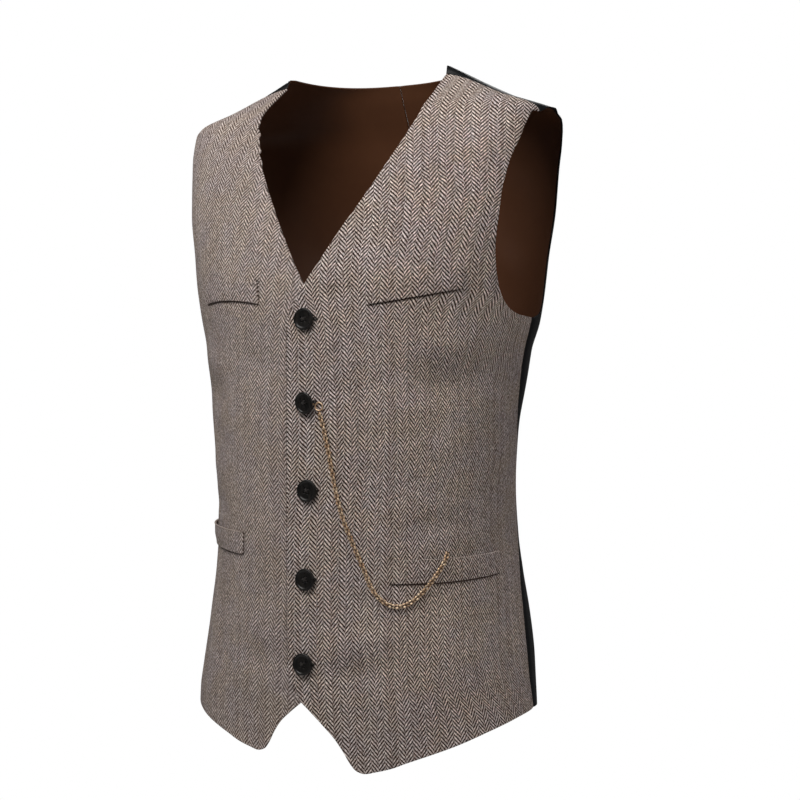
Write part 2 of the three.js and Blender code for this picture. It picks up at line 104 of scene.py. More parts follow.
# columns, rows of each band from hem to shoulder, and rough lengths of what ends in an edge
FRONT_COLUMNS = 150
FRONT_ROWS = (44, 92, 76, 6)
BACK_COLUMNS = 92
BACK_ROWS = (26, 64, 46, 30)
PANEL_LENGTH = 235
FRONT_LOW_LENGTH = 130
FRONT_TOP_LENGTH = 14
BACK_LOW_LENGTH = 95
BACK_TOP_LENGTH = 70

# z, half width, front, back, line of greatest width, squareness of the front and back
FORM = np.array([
    [14, 81, 1.5, 64, 0, 2.5, 2.4],
    [12, 85, 2.5, 65, 0, 2.5, 2.4],
    [3.4, 102, 8, 69, 0, 2.5, 2.6],
    [-6, 120, 21.5, 73, 0, 2.5, 2.8],
    [-20, 149, 41, 80, 0, 2.5, 3.0],
    [-34, 184, 56, 87, 0, 2.5, 3.3],
    [-43, 190, 61, 91, 0, 2.5, 3.4],
    [-60, 190.2, 70, 97, 0, 2.6, 3.2],
    [-85, 188, 82.6, 104, 0, 2.6, 3.0],
    [-120, 185, 94, 112, 1, 2.6, 2.8],
    [-160, 178, 105.5, 118, 2, 2.5, 2.6],
    [-200, 173, 113.5, 119, 4, 2.4, 2.4],
    [-229, 169, 114, 117, 4.5, 2.3, 2.3],
    [-257, 163, 114, 112, 0, 2.2, 2.2],
    [-322, 153.6, 114, 102, -6, 2.2, 2.2],
    [-360, 150.3, 114, 102, -5, 2.2, 2.2],
    [-398, 148.4, 114, 106, -2.5, 2.2, 2.2],
    [-430, 149.0, 114, 110.5, 0.5, 2.2, 2.2],
    [-462, 152.2, 114, 115, 3, 2.2, 2.2],
    [-496, 158, 114, 118, 4, 2.2, 2.2],
    [-532, 164.4, 113.5, 117, 1, 2.2, 2.2],
    [-561, 168.3, 113, 114, -3, 2.2, 2.2],
    [-580, 170.5, 112, 112, -5, 2.2, 2.2],
    [-645, 174, 108, 108, -6, 2.2, 2.2],
])
# z, distance from the centre
NECKLINE = np.array([
    [-14, 89.5], [-20, 90], [-36, 88], [-60, 79.5], [-80, 70.5], [-100, 60],
    [-120, 48.6], [-150, 30.9], [-180, 12.5], [-199, 0], [-228, -18],
])
# z, y
FRONT_ARM = np.array([
    [-38, -9], [-43, -14.5], [-50, -20.7], [-60, -30.5], [-70, -36], [-85, -42.7],
    [-100, -47.2], [-120, -51.4], [-140, -52.6], [-160, -52.7], [-180, -50.9],
    [-200, -45.5], [-212, -38.3], [-220, -29], [-225, -14], [-227, 10],
])
BACK_ARM = np.array([
    [-46, 45], [-60, 54], [-85, 61], [-120, 66], [-160, 65], [-190, 59], [-210, 49],
    [-222, 36], [-227, 18],
])
SIDE_SEAM = np.array([
    [-227, 14], [-266, 11.5], [-300, 16.5], [-322, 23], [-345, 32], [-365, 36], [-400, 38],
    [-430, 37.5], [-447, 34], [-465, 28], [-482, 23], [-500, 19.5], [-530, 14.5], [-560, 13],
    [-587, 17], [-645, 18],
])
# ring angle, z
FRONT_HEM = np.array([
    [-4.9, -556], [-1, -577], [1.4, -586], [5.1, -598], [8.4, -609], [11.2, -622],
    [12.8, -631], [14.8, -638], [17.2, -640], [20.6, -638], [26.1, -634], [32, -628],
    [50, -613], [67.5, -600], [84, -592], [101, -587],
])
ARM_BOTTOM = -227
EDGE_TOP = -228
ARM_JOIN = -46


# -------------------- the body form
def smooth(table, column, at):
    """Smooth curve through a table's rows by its first column: cubic pieces whose slope at a
    row is the harmonic mean of the slopes beside it, so nothing overshoots."""
    rows = table[np.argsort(table[:, 0])]
    x, y = rows[:, 0], rows[:, column]
    at = np.clip(np.asarray(at, float), x[0], x[-1])
    step = np.diff(y) / np.diff(x)
    product, total = step[:-1] * step[1:], step[:-1] + step[1:]
    safe = np.where(product > 0, total, 1)
    slope = np.concatenate([step[:1], np.where(product > 0, 2 * product / safe, 0), step[-1:]])
    k = np.clip(np.searchsorted(x, at) - 1, 0, len(x) - 2)
    h = x[k + 1] - x[k]
    t = (at - x[k]) / h
    s = 1 - t
    return (
        y[k] * (1 + 2 * t) * s * s
        + slope[k] * h * t * s * s
        + y[k + 1] * t * t * (3 - 2 * t)
        - slope[k + 1] * h * t * t * s
    )


def mix(a, b, t):
    """Straight blend from a to b."""
    return a + (b - a) * t


def rise(t):
    """Soft step from 0 to 1: t clipped to 0..1, then 3t^2 - 2t^3."""
    t = np.clip(t, 0, 1)
    return t * t * (3 - 2 * t)


def ring_at(z):
    """Half width, depths of the front and back halves and their squareness at a height."""
    half, front, back, mid, square_front, square_back = (smooth(FORM, c, z) for c in range(1, 7))
    return half, front + mid, back - mid, mid, square_front, square_back


def on_ring(angle, z):
    """Point of the body: x = half |sin|^(2/n), y = mid - depth |cos|^(2/n), signs kept."""
    angle, z = np.broadcast_arrays(np.asarray(angle, float), np.asarray(z, float))
    half, ahead, behind, mid, square_front, square_back = ring_at(z)
    s, c = np.sin(np.radians(angle)), np.cos(np.radians(angle))
    depth = np.where(c > 0, ahead, behind)
    power = 2 / np.where(c > 0, square_front, square_back)
    x = half * np.sign(s) * np.abs(s) ** power
    y = mid - depth * np.sign(c) * np.abs(c) ** power
    return np.stack([x, y, z], -1)


def angle_of_x(x, z):
    """Ring angle of a point of the front half, from x = half |sin|^(2/n)."""
    half, _, _, _, square, _ = ring_at(z)
    f = np.minimum(1, np.abs(x) / half) ** (square / 2)
    return np.sign(x) * np.degrees(np.arcsin(f))


def half_at(y, z):
    """Whether a point is in the back half, and that half's width, middle, depth, squareness."""
    half, ahead, behind, mid, square_front, square_back = ring_at(z)
    back = y > mid
    depth, square = np.where(back, behind, ahead), np.where(back, square_back, square_front)
    return back, half, mid, depth, square


def angle_of_y(y, z):
    """Ring angle of a point by its depth, from y = mid - depth |cos|^(2/n)."""
    back, _, mid, depth, square = half_at(y, z)
    f = np.minimum(1, np.abs(y - mid) / depth) ** (square / 2)
    a = np.degrees(np.arcsin(f))
    return np.where(back, 90 + a, 90 - a)


def angle_of_point(p):
    """Ring angle of any point of the form, from the shares of both axes."""
    back, half, mid, depth, square = half_at(p[..., 1], p[..., 2])
    across = (np.abs(p[..., 0]) / half) ** (square / 2)
    along = (np.abs(p[..., 1] - mid) / depth) ** (square / 2)
    a = np.degrees(np.arctan2(across, along))
    return np.sign(p[..., 0] + TINY) * np.where(back, 180 - a, a)


def form_value(x, y, z):
    """Zero on the body's form and positive outside: (|x/half|^n + |y/depth|^n)^(1/n) - 1."""
    _, half, mid, depth, square = half_at(y, z)
    total = (np.abs(x) / half) ** square + (np.abs(y - mid) / depth) ** square
    return total ** (1 / square) - 1


def outward(p):
    """Unit normal of the form: the gradient of form_value by central differences."""
    x, y, z = np.moveaxis(p, -1, 0)
    d = NORMAL_STEP
    g = np.stack([
        form_value(x + d, y, z) - form_value(x - d, y, z),
        form_value(x, y + d, z) - form_value(x, y - d, z),
        form_value(x, y, z + d) - form_value(x, y, z - d),
    ], -1)
    return g / np.linalg.norm(g, axis=-1, keepdims=True)


def height_at(x, y):
    """Height of the shoulders above a point of the plan, by halving the search range."""
    x, y = np.broadcast_arrays(np.asarray(x, float), np.asarray(y, float))
    low, high = np.full(x.shape, float(LOWEST_TOP)), np.full(x.shape, FORM[0, 0])
    for _ in range(HALVINGS):
        z = (low + high) / 2
        inside = form_value(x, y, z) < 0
        low, high = np.where(inside, z, low), np.where(inside, high, z)
    return (low + high) / 2


def shoulder_seam(s, back):
    """Shoulder seam from neck to tip, a straight line in plan laid on the form."""
    x, y = mix(NECK_X, TIP_X, s), mix(NECK_Y, TIP_Y, s) + back
    return np.stack([x, y, height_at(x, y)], -1)


def over_shoulder(start, end, shares):
    """Rows over the top of the body, straight in plan from one row of points to another."""
    t = shares[:, None]
    x, y = mix(start[None, :, 0], end[None, :, 0], t), mix(start[None, :, 1], end[None, :, 1], t)
    z = height_at(x, y)
    z[-1] = end[:, 2]
    return np.stack([x, y, z], -1)


def seam_angle(z):
    """Ring angle of the side seam."""
    return angle_of_y(smooth(SIDE_SEAM, 1, z), z)


def inner_angle(z):
    """Ring angle of the front edge below the neckline, then of the neckline."""
    neck = shoulder_seam(np.array(0.0), -SEAM_GAP / 2)
    t = np.clip((z - NECKLINE[0, 0]) / (neck[2] - NECKLINE[0, 0]), 0, 1)
    x = np.where(z <= EDGE_TOP, -OVERLAP, smooth(NECKLINE, 1, z))
    return angle_of_x(mix(x, neck[0], t), z)


def outer_angle(z):
    """Ring angle of the side seam below the armhole, then of the armhole."""
    low = seam_angle(z) - SEAM_TRIM
    return np.where(z <= ARM_BOTTOM, low, angle_of_y(smooth(FRONT_ARM, 1, z), z))


def hem_height(s, hem_rise):
    """Hem of a front: the table's curve, raised near the point on the under front."""
    angle = mix(FRONT_HEM[0, 0], FRONT_HEM[-1, 0], s)
    spread = np.where(angle < POINT_ANGLE, RISE_SPREAD_IN, RISE_SPREAD_OUT)
    near = np.exp(-(((angle - POINT_ANGLE) / spread) ** 2))
    return smooth(FRONT_HEM, 1, angle) + hem_rise * near


def with_edges(count, length, start=True, end=True):
    """Even shares from 0 to 1, with close ones near the ends where the cloth's edge rounds."""
    near = EDGE_ROWS / length
    clear = near[-1] * EDGE_CLEAR
    even, close = np.linspace(0, 1, count + 1), []
    if start:
        even = even[(even == 0) | (even > clear)]
        close.append(near)
    if end:
        even = even[(even == 1) | (even < 1 - clear)]
        close.append(1 - near)
    return np.unique(np.concatenate([even, *close]))


def front_grid(columns, hem_rise):
    """Points of a front, rows from hem to shoulder: angle and height blend from the front
    edge to the side seam, then the armhole, and the last rows lie over the shoulder."""
    s = columns[None, :]
    low = with_edges(FRONT_ROWS[0], FRONT_LOW_LENGTH, end=False)[:, None]
    z = mix(hem_height(s, hem_rise), HEM_BAND, low)
    start = angle_of_x(np.full(z.shape, -float(OVERLAP)), z)
    rows = [on_ring(mix(start, seam_angle(z) - SEAM_TRIM, s), z)]
    mid = np.linspace(0, 1, FRONT_ROWS[1] + 1)[1:, None]
    inner, outer = mix(HEM_BAND, EDGE_TOP, mid), mix(HEM_BAND, ARM_BOTTOM, mid)
    rows.append(on_ring(mix(inner_angle(inner), outer_angle(outer), s), mix(inner, outer, s)))
    seam = shoulder_seam(columns, -SEAM_GAP / 2)
    v = ARM_SHARE * np.linspace(0, 1, FRONT_ROWS[2] + 1)[1:, None]
    inner = mix(EDGE_TOP, seam[0, 2], v)
    outer = mix(ARM_BOTTOM, seam[-1, 2], v ** ARM_CROWDING)
    rows.append(on_ring(mix(inner_angle(inner), outer_angle(outer), s), mix(inner, outer, s)))
    shares = with_edges(FRONT_ROWS[3], FRONT_TOP_LENGTH, start=False)[1:]
    rows.append(over_shoulder(rows[-1][-1], seam, shares))
    return np.concatenate(rows)


def back_grid(columns):
    """Points of half a back, rows from hem to shoulder, columns from the centre seam."""
    s = columns[None, :]
    hem = mix(BACK_HEM_CENTRE, BACK_HEM_SIDE, rise(s))
    low = with_edges(BACK_ROWS[0], BACK_LOW_LENGTH, end=False)[:, None]
    z = mix(hem, HEM_BAND, low)
    rows = [on_ring(mix(180, seam_angle(z) + SEAM_TRIM, s), z)]
    z = mix(HEM_BAND, ARM_BOTTOM, np.linspace(0, 1, BACK_ROWS[1] + 1)[1:, None]) + 0 * s
    rows.append(on_ring(mix(180, seam_angle(z) + SEAM_TRIM, s), z))
    v = np.linspace(0, 1, BACK_ROWS[2] + 1)[1:, None]
    z = mix(ARM_BOTTOM, ARM_JOIN, v ** ARM_CROWDING) + 0 * s
    rows.append(on_ring(mix(180, angle_of_y(smooth(BACK_ARM, 1, z), z), s), z))
    t = columns / NECK_PART
    drop = BACK_NECK_DROP * (1 - rise(t))
    ring = on_ring(mix(180, RIDGE_ANGLE, np.clip(t / RING_PART, 0, 1)), RIDGE_Z - drop)
    start = on_ring(RIDGE_ANGLE, RIDGE_Z)
    neck = shoulder_seam(np.array(0.0), SEAM_GAP / 2)
    share = np.clip((t - RING_PART) / (1 - RING_PART), 0, 1)
    x, y = mix(start[0], neck[0], share), mix(start[1], neck[1], share)
    link = np.stack([x, y, np.minimum(height_at(x, y), RIDGE_Z)], -1)
    seam = shoulder_seam(np.clip((columns - NECK_PART) / (1 - NECK_PART), 0, 1), SEAM_GAP / 2)
    neck_line = np.where((t < RING_PART)[:, None], ring, link)
    top = np.where((columns >= NECK_PART)[:, None], seam, neck_line)
    shares = with_edges(BACK_ROWS[3], BACK_TOP_LENGTH, start=False)[1:]
    rows.append(over_shoulder(rows[-1][-1], top, shares))
    return np.concatenate(rows)


# -------------------- cloth lengths
CLOTH_Z = np.arange(-650.0, 14.1, 2.0)
CLOTH_ANGLE = np.arange(0.0, 181.0, 1.0)
# z, then the place across the cloth: start, share of the length round the body, and the gain
# with its square, as darts and easing take the cloth in; last, the fall of the picks
WEAVE_DRAFT = np.array([
    [-30, 44, 0.87, 0.0, -0.05], [-45, 42.5, 0.87, 0.0, -0.05], [-60, 39.1, 0.874, 0.0, -0.055],
    [-75, 34.9, 0.884, 0.0, -0.06], [-90, 32.6, 0.872, 0.0001, -0.07],
    [-120, 33.4, 0.77, 0.0006, -0.08], [-150, 28.6, 0.806, 0.0007, -0.085],
    [-180, 25.4, 0.884, 0.0005, -0.085], [-205, 25.4, 0.868, 0.0006, -0.09],
    [-230, 20.2, 0.92, 0.001, -0.1], [-260, 17.4, 0.909, 0.0014, -0.11],
    [-290, 17.4, 0.846, 0.0021, -0.12], [-320, 16.4, 0.822, 0.0023, -0.13],
    [-350, 16.6, 0.832, 0.0021, -0.13], [-380, 18.5, 0.836, 0.0022, -0.13],
    [-440, 21.6, 0.838, 0.002, -0.13], [-470, 21.2, 0.878, 0.0016, -0.13],
    [-530, 21.4, 0.867, 0.0016, -0.13], [-560, 20.7, 0.877, 0.0014, -0.13],
    [-590, 19.0, 0.922, 0.0008, -0.12], [-640, 17.0, 0.97, 0.0004, -0.12],
])
GAIN_TO = 150.0


def cloth_tables():
    """Length round the body from the centre front to each ring angle, and length up the
    middle of the front, both summed from small steps."""
    points = on_ring(CLOTH_ANGLE[None, :], CLOTH_Z[:, None])
    step = np.linalg.norm(np.diff(points, axis=1), axis=-1)
    around = np.concatenate([np.zeros((len(CLOTH_Z), 1)), np.cumsum(step, 1)], 1)
    front = on_ring(0, CLOTH_Z)
    climb = np.linalg.norm(np.diff(front, axis=0), axis=-1)
    return around, np.concatenate([[0], np.cumsum(climb)])


AROUND, UP = cloth_tables()


def looked_up(table, rows, columns, r, c):
    """Value of an even table between its rows and columns, blended in both directions."""
    fr = np.clip((r - rows[0]) / (rows[1] - rows[0]), 0, len(rows) - 1.001)
    fc = np.clip((c - columns[0]) / (columns[1] - columns[0]), 0, len(columns) - 1.001)
    i, j = fr.astype(int), fc.astype(int)
    a, b = fr - i, fc - j
    low = table[i, j] * (1 - b) + table[i, j + 1] * b
    return low * (1 - a) + (table[i + 1, j] * (1 - b) + table[i + 1, j + 1] * b) * a


def cloth_place(p):
    """Place on the cloth of points of the form, in millimetres. Across, with s the length
    round from the centre front: start + share s + gain min(s, 150)^2, plus the tangent beyond.
    Up: the length up the body, plus the fall of the picks times s."""
    angle, z = angle_of_point(p), p[..., 2]
    around = looked_up(AROUND, CLOTH_Z, CLOTH_ANGLE, z, np.abs(angle)) * np.sign(angle)
    start, share, gain, fall = (smooth(WEAVE_DRAFT, k, z) for k in range(1, 5))
    near = np.clip(around, -GAIN_TO, GAIN_TO)
    beyond = 2 * gain * GAIN_TO * (around - near)
    across = start + share * around + gain * near * np.abs(near) + beyond
    up = np.interp(z, CLOTH_Z, UP) + fall * around
    return np.stack([across, up], -1)


# -------------------- creases
# x and z of both ends, width, height (minus is a trough)
LEFT_CREASES = np.array([
    [168, -236, 82, -256, 14, 3.8],
    [168, -271, 82, -293, 14, -4.0],
    [4, -520, 104, -507, 11, 2.8],
    [4, -549, 104, -536, 11, -3.2],
    [104, -466, 112, -606, 17, 3.4],
    [146, -466, 156, -606, 16, -3.4],
    [26, -300, 94, -270, 9, -1.5],
    [12, -214, 58, -190, 8, -1.3],
    [84, -408, 144, -394, 10, 1.8],
    [84, -430, 144, -414, 10, -2.0],
    [20, -392, 78, -352, 10, -1.2],
    [22, -404, 92, -430, 9, 0.9],
    [118, -356, 60, -398, 11, -1.1],
    [140, -300, 92, -338, 12, -1.2],
    [146, -330, 108, -372, 9, 1.0],
    [148, -392, 96, -402, 9, -1.3],
    [146, -420, 104, -424, 8, 0.9],
    [24, -470, 60, -512, 11, -1.0],
    [22, -560, 58, -600, 10, -0.9],
    [70, -540, 66, -620, 18, -1.1],
    [60, -140, 96, -196, 13, -0.9],
    [120, -150, 132, -215, 12, 1.0],
    [110, -90, 128, -150, 12, -0.8],
    [44, -236, 104, -250, 10, 0.7],
])
RIGHT_CREASES = np.array([
    [150, -250, 86, -270, 14, 2.4],
    [150, -282, 86, -300, 14, -2.6],
    [8, -516, 92, -500, 11, 1.8],
    [8, -543, 92, -528, 11, -2.2],
    [26, -292, 84, -256, 9, -1.4],
    [16, -208, 56, -188, 8, -1.1],
    [88, -420, 128, -388, 11, -1.4],
    [24, -382, 70, -350, 9, -0.9],
    [130, -322, 76, -352, 11, -1.2],
    [138, -352, 96, -378, 9, 1.0],
    [144, -402, 100, -408, 9, -1.2],
    [22, -456, 64, -492, 11, -1.0],
    [26, -548, 62, -590, 10, 0.9],
    [88, -470, 100, -590, 15, -1.5],
    [122, -480, 134, -590, 13, 1.5],
    [148, -500, 156, -580, 10, -1.1],
    [70, -120, 92, -190, 13, -0.9],
    [116, -140, 130, -210, 11, 0.9],
    [104, -80, 122, -140, 12, -0.8],
    [44, -232, 100, -246, 10, 0.7],
])
BACK_CREASES = np.array([
    [20, -380, 120, -350, 13, -2.2],
    [26, -402, 130, -384, 11, 2.0],
    [16, -424, 112, -418, 12, -2.4],
    [40, -446, 140, -444, 11, 1.6],
    [24, -350, 90, -318, 13, 1.5],
    [60, -300, 140, -262, 15, -1.8],
    [128, -330, 148, -250, 12, 1.5],
    [70, -120, 130, -196, 17, -1.9],
    [40, -70, 84, -150, 18, 1.4],
    [100, -60, 150, -120, 14, 1.3],
    [30, -480, 44, -596, 20, 2.2],
    [74, -476, 92, -596, 18, -2.2],
    [112, -486, 134, -590, 15, 1.8],
    [16, -200, 60, -236, 15, -1.3],
])
CREASE_BOW = 0.09
CREASE_FADE = 1.3


def creased(table, x, z):
    """Height of the creases: each is a bell across its line, bowed sideways by a share of its
    length, and fades to nothing at both ends as sin(pi t)^1.3. Two rows in turn bow the same
    way, so a ridge and the trough below it run side by side."""
    total = np.zeros(np.shape(x))
    for k, (x0, z0, x1, z1, width, depth) in enumerate(table):
        length = math.hypot(x1 - x0, z1 - z0)
        ux, uz = (x1 - x0) / length, (z1 - z0) / length
        t = np.clip(((x - x0) * ux + (z - z0) * uz) / length, 0, 1)
        side = (x - x0) * -uz + (z - z0) * ux
        bow = CREASE_BOW * length * (1 if k % 4 < 2 else -1)
        side = side - bow * 4 * t * (1 - t)
        fade = np.sin(np.pi * t) ** CREASE_FADE
        total += depth * fade * np.exp(-((side / width) ** 2))
    return total


# -------------------- mesh making
TUBE_GUIDE = np.array([0.0, -1.0, 0.12])


def new_object(name, vertices, faces, uv=None, made=None):
    """A mesh in metres from points in millimetres, with its UV and material if given."""
    mesh = bpy.data.meshes.new(name)
    mesh.from_pydata((np.asarray(vertices) * MM).tolist(), [], faces)
    if uv is not None:
        layer = mesh.uv_layers.new(name="cloth")
        index = np.zeros(len(mesh.loops), int)
        mesh.loops.foreach_get("vertex_index", index)
        layer.data.foreach_set("uv", (np.asarray(uv)[index] * MM).astype(np.float32).ravel())
    mesh.polygons.foreach_set("use_smooth", [True] * len(mesh.polygons))
    mesh.update()
    if made:
        mesh.materials.append(made)
    piece = bpy.data.objects.new(name, mesh)
    bpy.context.scene.collection.objects.link(piece)
    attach(piece, "root")
    return piece


def quads(ids, flip=False):
    """Faces between neighbouring rows and columns of an array of vertex numbers."""
    a, b, c, d = ids[:-1, :-1], ids[:-1, 1:], ids[1:, 1:], ids[1:, :-1]
    faces = np.stack([a, b, c, d] if not flip else [a, d, c, b], -1)
    return faces.reshape(-1, 4)


def ring_numbers(rings, sides, closed=False):
    """Vertex numbers of rings of points, with the first column, or ring too, repeated."""
    ids = np.arange(rings * sides).reshape(rings, sides)
    ids = np.concatenate([ids, ids[:, :1]], 1)
    return np.concatenate([ids, ids[:1]]) if closed else ids


def capped(ids, count):
    """Faces between rings, and a fan at each end to the two vertices numbered from count."""
    fans = [[ids[0, k + 1], ids[0, k], count] for k in range(ids.shape[1] - 1)]
    fans += [[ids[-1, k], ids[-1, k + 1], count + 1] for k in range(ids.shape[1] - 1)]
    return quads(ids).tolist() + fans


def lengths_along(grid, axis):
    """Summed distance between neighbouring points along one axis of a grid."""
    step = np.linalg.norm(np.diff(grid, axis=axis), axis=-1)
    pad = [(1, 0), (0, 0)] if axis == 0 else [(0, 0), (1, 0)]
    return np.cumsum(np.pad(step, pad), axis)


def edge_distances(grid):
    """Distance along the cloth to the first and last column and the first and last row."""
    along, up = lengths_along(grid, 1), lengths_along(grid, 0)
    return along, along[:, -1:] - along, up, up[-1:] - up


def shell(name, grid, normals, wall, uv, flip, lining):
    """A closed sheet of cloth: outer and inner face half a wall to each side of its middle,
    drawn together at the edges as a half circle, k = sqrt(1 - (1 - d/r)^2)."""
    distance = np.minimum.reduce(edge_distances(grid))
    reach = 1 - np.clip(distance / (wall / 2), 0, 1)
    half = (wall / 2 * np.sqrt(np.clip(1 - reach ** 2, 0, 1)))[..., None]
    middle = grid - normals * wall / 2
    outer, inner = middle + normals * half, middle - normals * half
    rows, columns = grid.shape[:2]
    ids = np.arange(rows * columns).reshape(rows, columns)
    inside = np.zeros((rows, columns), bool)
    inside[1:-1, 1:-1] = True
    inner_ids = ids.copy()
    inner_ids[inside] = rows * columns + np.arange(inside.sum())
    vertices = np.concatenate([outer.reshape(-1, 3), inner[inside]])
    faces = np.concatenate([quads(ids, flip), quads(inner_ids, not flip)])
    place = np.concatenate([uv.reshape(-1, 2), uv[inside]])
    piece = new_object(name, vertices, faces.tolist(), place)
    cell = lining[:-1, :-1] & lining[1:, 1:]
    marks = np.concatenate([np.zeros(cell.size, int), cell.ravel().astype(int)])
    piece.data.polygons.foreach_set("material_index", marks)
    return piece


def tube(path, radius, sides=8, closed=False):
    """Vertices and faces of a tube carried along a path, its section turned with the least
    twist. Open ends are closed by a fan to a point. The radius may change along the path."""
    path = np.asarray(path, float)
    if closed:
        tangent = np.roll(path, -1, 0) - np.roll(path, 1, 0)
    else:
        tangent = np.gradient(path, axis=0)
    tangent /= np.linalg.norm(tangent, axis=1, keepdims=True)
    side = np.cross(tangent, TUBE_GUIDE)
    side /= np.linalg.norm(side, axis=1, keepdims=True)
    other = np.cross(side, tangent)
    angle = np.arange(sides) * 2 * np.pi / sides
    r = np.broadcast_to(radius, len(path))[:, None, None]
    ring = r * (
        np.cos(angle)[None, :, None] * side[:, None]
        + np.sin(angle)[None, :, None] * other[:, None]
    )
    vertices = (path[:, None] + ring).reshape(-1, 3)
    ids = ring_numbers(len(path), sides, closed)
    if closed:
        return vertices, quads(ids).tolist()
    return np.concatenate([vertices, path[:1], path[-1:]]), capped(ids, len(vertices))


def joined(parts):
    """One list of vertices and faces from several."""
    faces, count = [], 0
    for v, f in parts:
        faces += [[int(i) + count for i in face] for face in f]
        count += len(v)
    return np.concatenate([v for v, _ in parts]), faces


# -------------------- shader helpers
class Nodes:
    """Adds nodes to a tree and links their sockets."""

    def __init__(self, tree):
        self.tree = tree

    def add(self, kind, **values):
        """A node with some of its properties set."""
        node = self.tree.nodes.new(kind)
        for key, value in values.items():
            setattr(node, key, value)
        return node

    def put(self, socket, value):
        """Links an output to a socket, or sets the socket to a constant."""
        if isinstance(value, bpy.types.NodeSocket):
            self.tree.links.new(value, socket)
        else:
            socket.default_value = value

    def math(self, operation, *values):
        """A Math node's output."""
        node = self.add("ShaderNodeMath", operation=operation)
        for socket, value in zip(node.inputs, values):
            self.put(socket, value)
        return node.outputs[0]

    def mix(self, share, a, b, blend="MIX"):
        """A colour between a and b."""
        node = self.add("ShaderNodeMix", data_type="RGBA", blend_type=blend)
        self.put(node.inputs[0], share)
        self.put(node.inputs[6], a)
        self.put(node.inputs[7], b)
        return node.outputs[2]

    def noise(self, vector, scale, detail=2.0, roughness=0.5):
        """A noise pattern's value."""
        node = self.add("ShaderNodeTexNoise")
        self.put(node.inputs["Vector"], vector)
        self.put(node.inputs["Scale"], scale)
        self.put(node.inputs["Detail"], detail)
        self.put(node.inputs["Roughness"], roughness)
        return node.outputs[0]

    def scatter(self, x, y):
        """A random value for each pair of whole numbers."""
        vector = self.add("ShaderNodeCombineXYZ")
        self.put(vector.inputs[0], x)
        self.put(vector.inputs[1], y)
        node = self.add("ShaderNodeTexWhiteNoise", noise_dimensions="2D")
        self.put(node.inputs["Vector"], vector.outputs[0])
        return node.outputs[0]

    def spread(self, value, low, high, to_low=0.0, to_high=1.0):
        """A value mapped from one range to another, clamped."""
        node = self.add("ShaderNodeMapRange")
        for socket, v in zip(node.inputs, (value, low, high, to_low, to_high)):
            self.put(socket, v)
        return node.outputs[0]

    def grey(self, value):
        """A colour with one value in all three channels."""
        node = self.add("ShaderNodeCombineColor")
        for k in range(3):
            self.put(node.inputs[k], value)
        return node.outputs[0]

    def stretched(self, vector, scale):
        """A vector scaled differently along its axes."""
        node = self.add("ShaderNodeMapping")
        self.put(node.inputs["Vector"], vector)
        node.inputs["Scale"].default_value = scale
        return node.outputs[0]

    def bands(self, vector, direction, scale, distortion):
        """A wave pattern of bands."""
        node = self.add("ShaderNodeTexWave", wave_type="BANDS", bands_direction=direction)
        self.put(node.inputs["Vector"], vector)
        node.inputs["Scale"].default_value = scale
        node.inputs["Distortion"].default_value = distortion
        return node.outputs[0]

    def uv(self):
        """The piece's own cloth UV, in metres of cloth."""
        return self.add("ShaderNodeUVMap", uv_map="cloth").outputs[0]

    def place(self):
        """Object coordinates."""
        return self.add("ShaderNodeTexCoord").outputs["Object"]


def group(name, inputs, outputs):
    """An empty shader node group with named sockets: name, kind, default."""
    tree = bpy.data.node_groups.new(name, "ShaderNodeTree")
    for label, kind, value in inputs:
        socket = tree.interface.new_socket(label, in_out="INPUT", socket_type=kind)
        if value is not None:
            socket.default_value = value
    for label, kind in outputs:
        tree.interface.new_socket(label, in_out="OUTPUT", socket_type=kind)
    nodes = Nodes(tree)
    return nodes, nodes.add("NodeGroupInput"), nodes.add("NodeGroupOutput")


def material(name, **constants):
    """A material with its Principled shader's constant sockets set."""
    made = bpy.data.materials.new(name)
    made.use_nodes = True
    shader = made.node_tree.nodes["Principled BSDF"]
    for key, value in constants.items():
        shader.inputs[key.replace("_", " ")].default_value = value
    return made, Nodes(made.node_tree), shader


def placed_group(nodes, tree, **values):
    """A group node in a material, with its named inputs set or linked."""
    node = nodes.add("ShaderNodeGroup", node_tree=tree)
    for key, value in values.items():
        nodes.put(node.inputs[key.replace("_", " ")], value)
    return node


def bumped(nodes, shader, height, distance, strength=1.0):
    """Feeds a height into the shader's normal."""
    bump = nodes.add("ShaderNodeBump")
    bump.inputs["Strength"].default_value = strength
    bump.inputs["Distance"].default_value = distance
    nodes.put(bump.inputs["Height"], height)
    nodes.put(shader.inputs["Normal"], bump.outputs[0])


# -------------------- shared patterns
# shares of the broad and the fine pattern, and how much finer the fine one is
WEAR_BROAD = 0.7
WEAR_FINE = 0.3
WEAR_FINER = 9.0


def wear_group():
    """Uneven dye and handling marks: broad soft patches and finer mottling, as one factor."""
    n, given, out = group(
        "uneven dye",
        [("Vector", "NodeSocketVector", None), ("Patch", "NodeSocketFloat", 18.0),
         ("Depth", "NodeSocketFloat", 0.12)],
        [("Factor", "NodeSocketFloat")],
    )
    place, patch, depth = (given.outputs[k] for k in ("Vector", "Patch", "Depth"))
    broad = n.noise(place, patch, 3.0)
    fine = n.noise(place, n.math("MULTIPLY", patch, WEAR_FINER), 2.0)
    both = n.math("ADD", n.math("MULTIPLY", broad, WEAR_BROAD), n.math("MULTIPLY", fine, WEAR_FINE))
    centred = n.math("MULTIPLY", n.math("SUBTRACT", both, 0.5), depth)
    n.put(out.inputs["Factor"], n.math("ADD", n.math("MULTIPLY", centred, 2.0), 1.0))
    return n.tree


# how many yarns the weave wanders, at what scale; the weft's height; the hairs' scale, height
# and share of the tone
WANDER = 1.1
WANDER_SCALE = 90.0
WEFT_HEIGHT = 0.8
HAIR_SCALE = 1500.0
HAIR_HEIGHT = 0.7
HAIR_TONE = 0.45
# share of the tone that follows the whole yarn; the rest changes at each crossing
YARN_TONE = 0.4


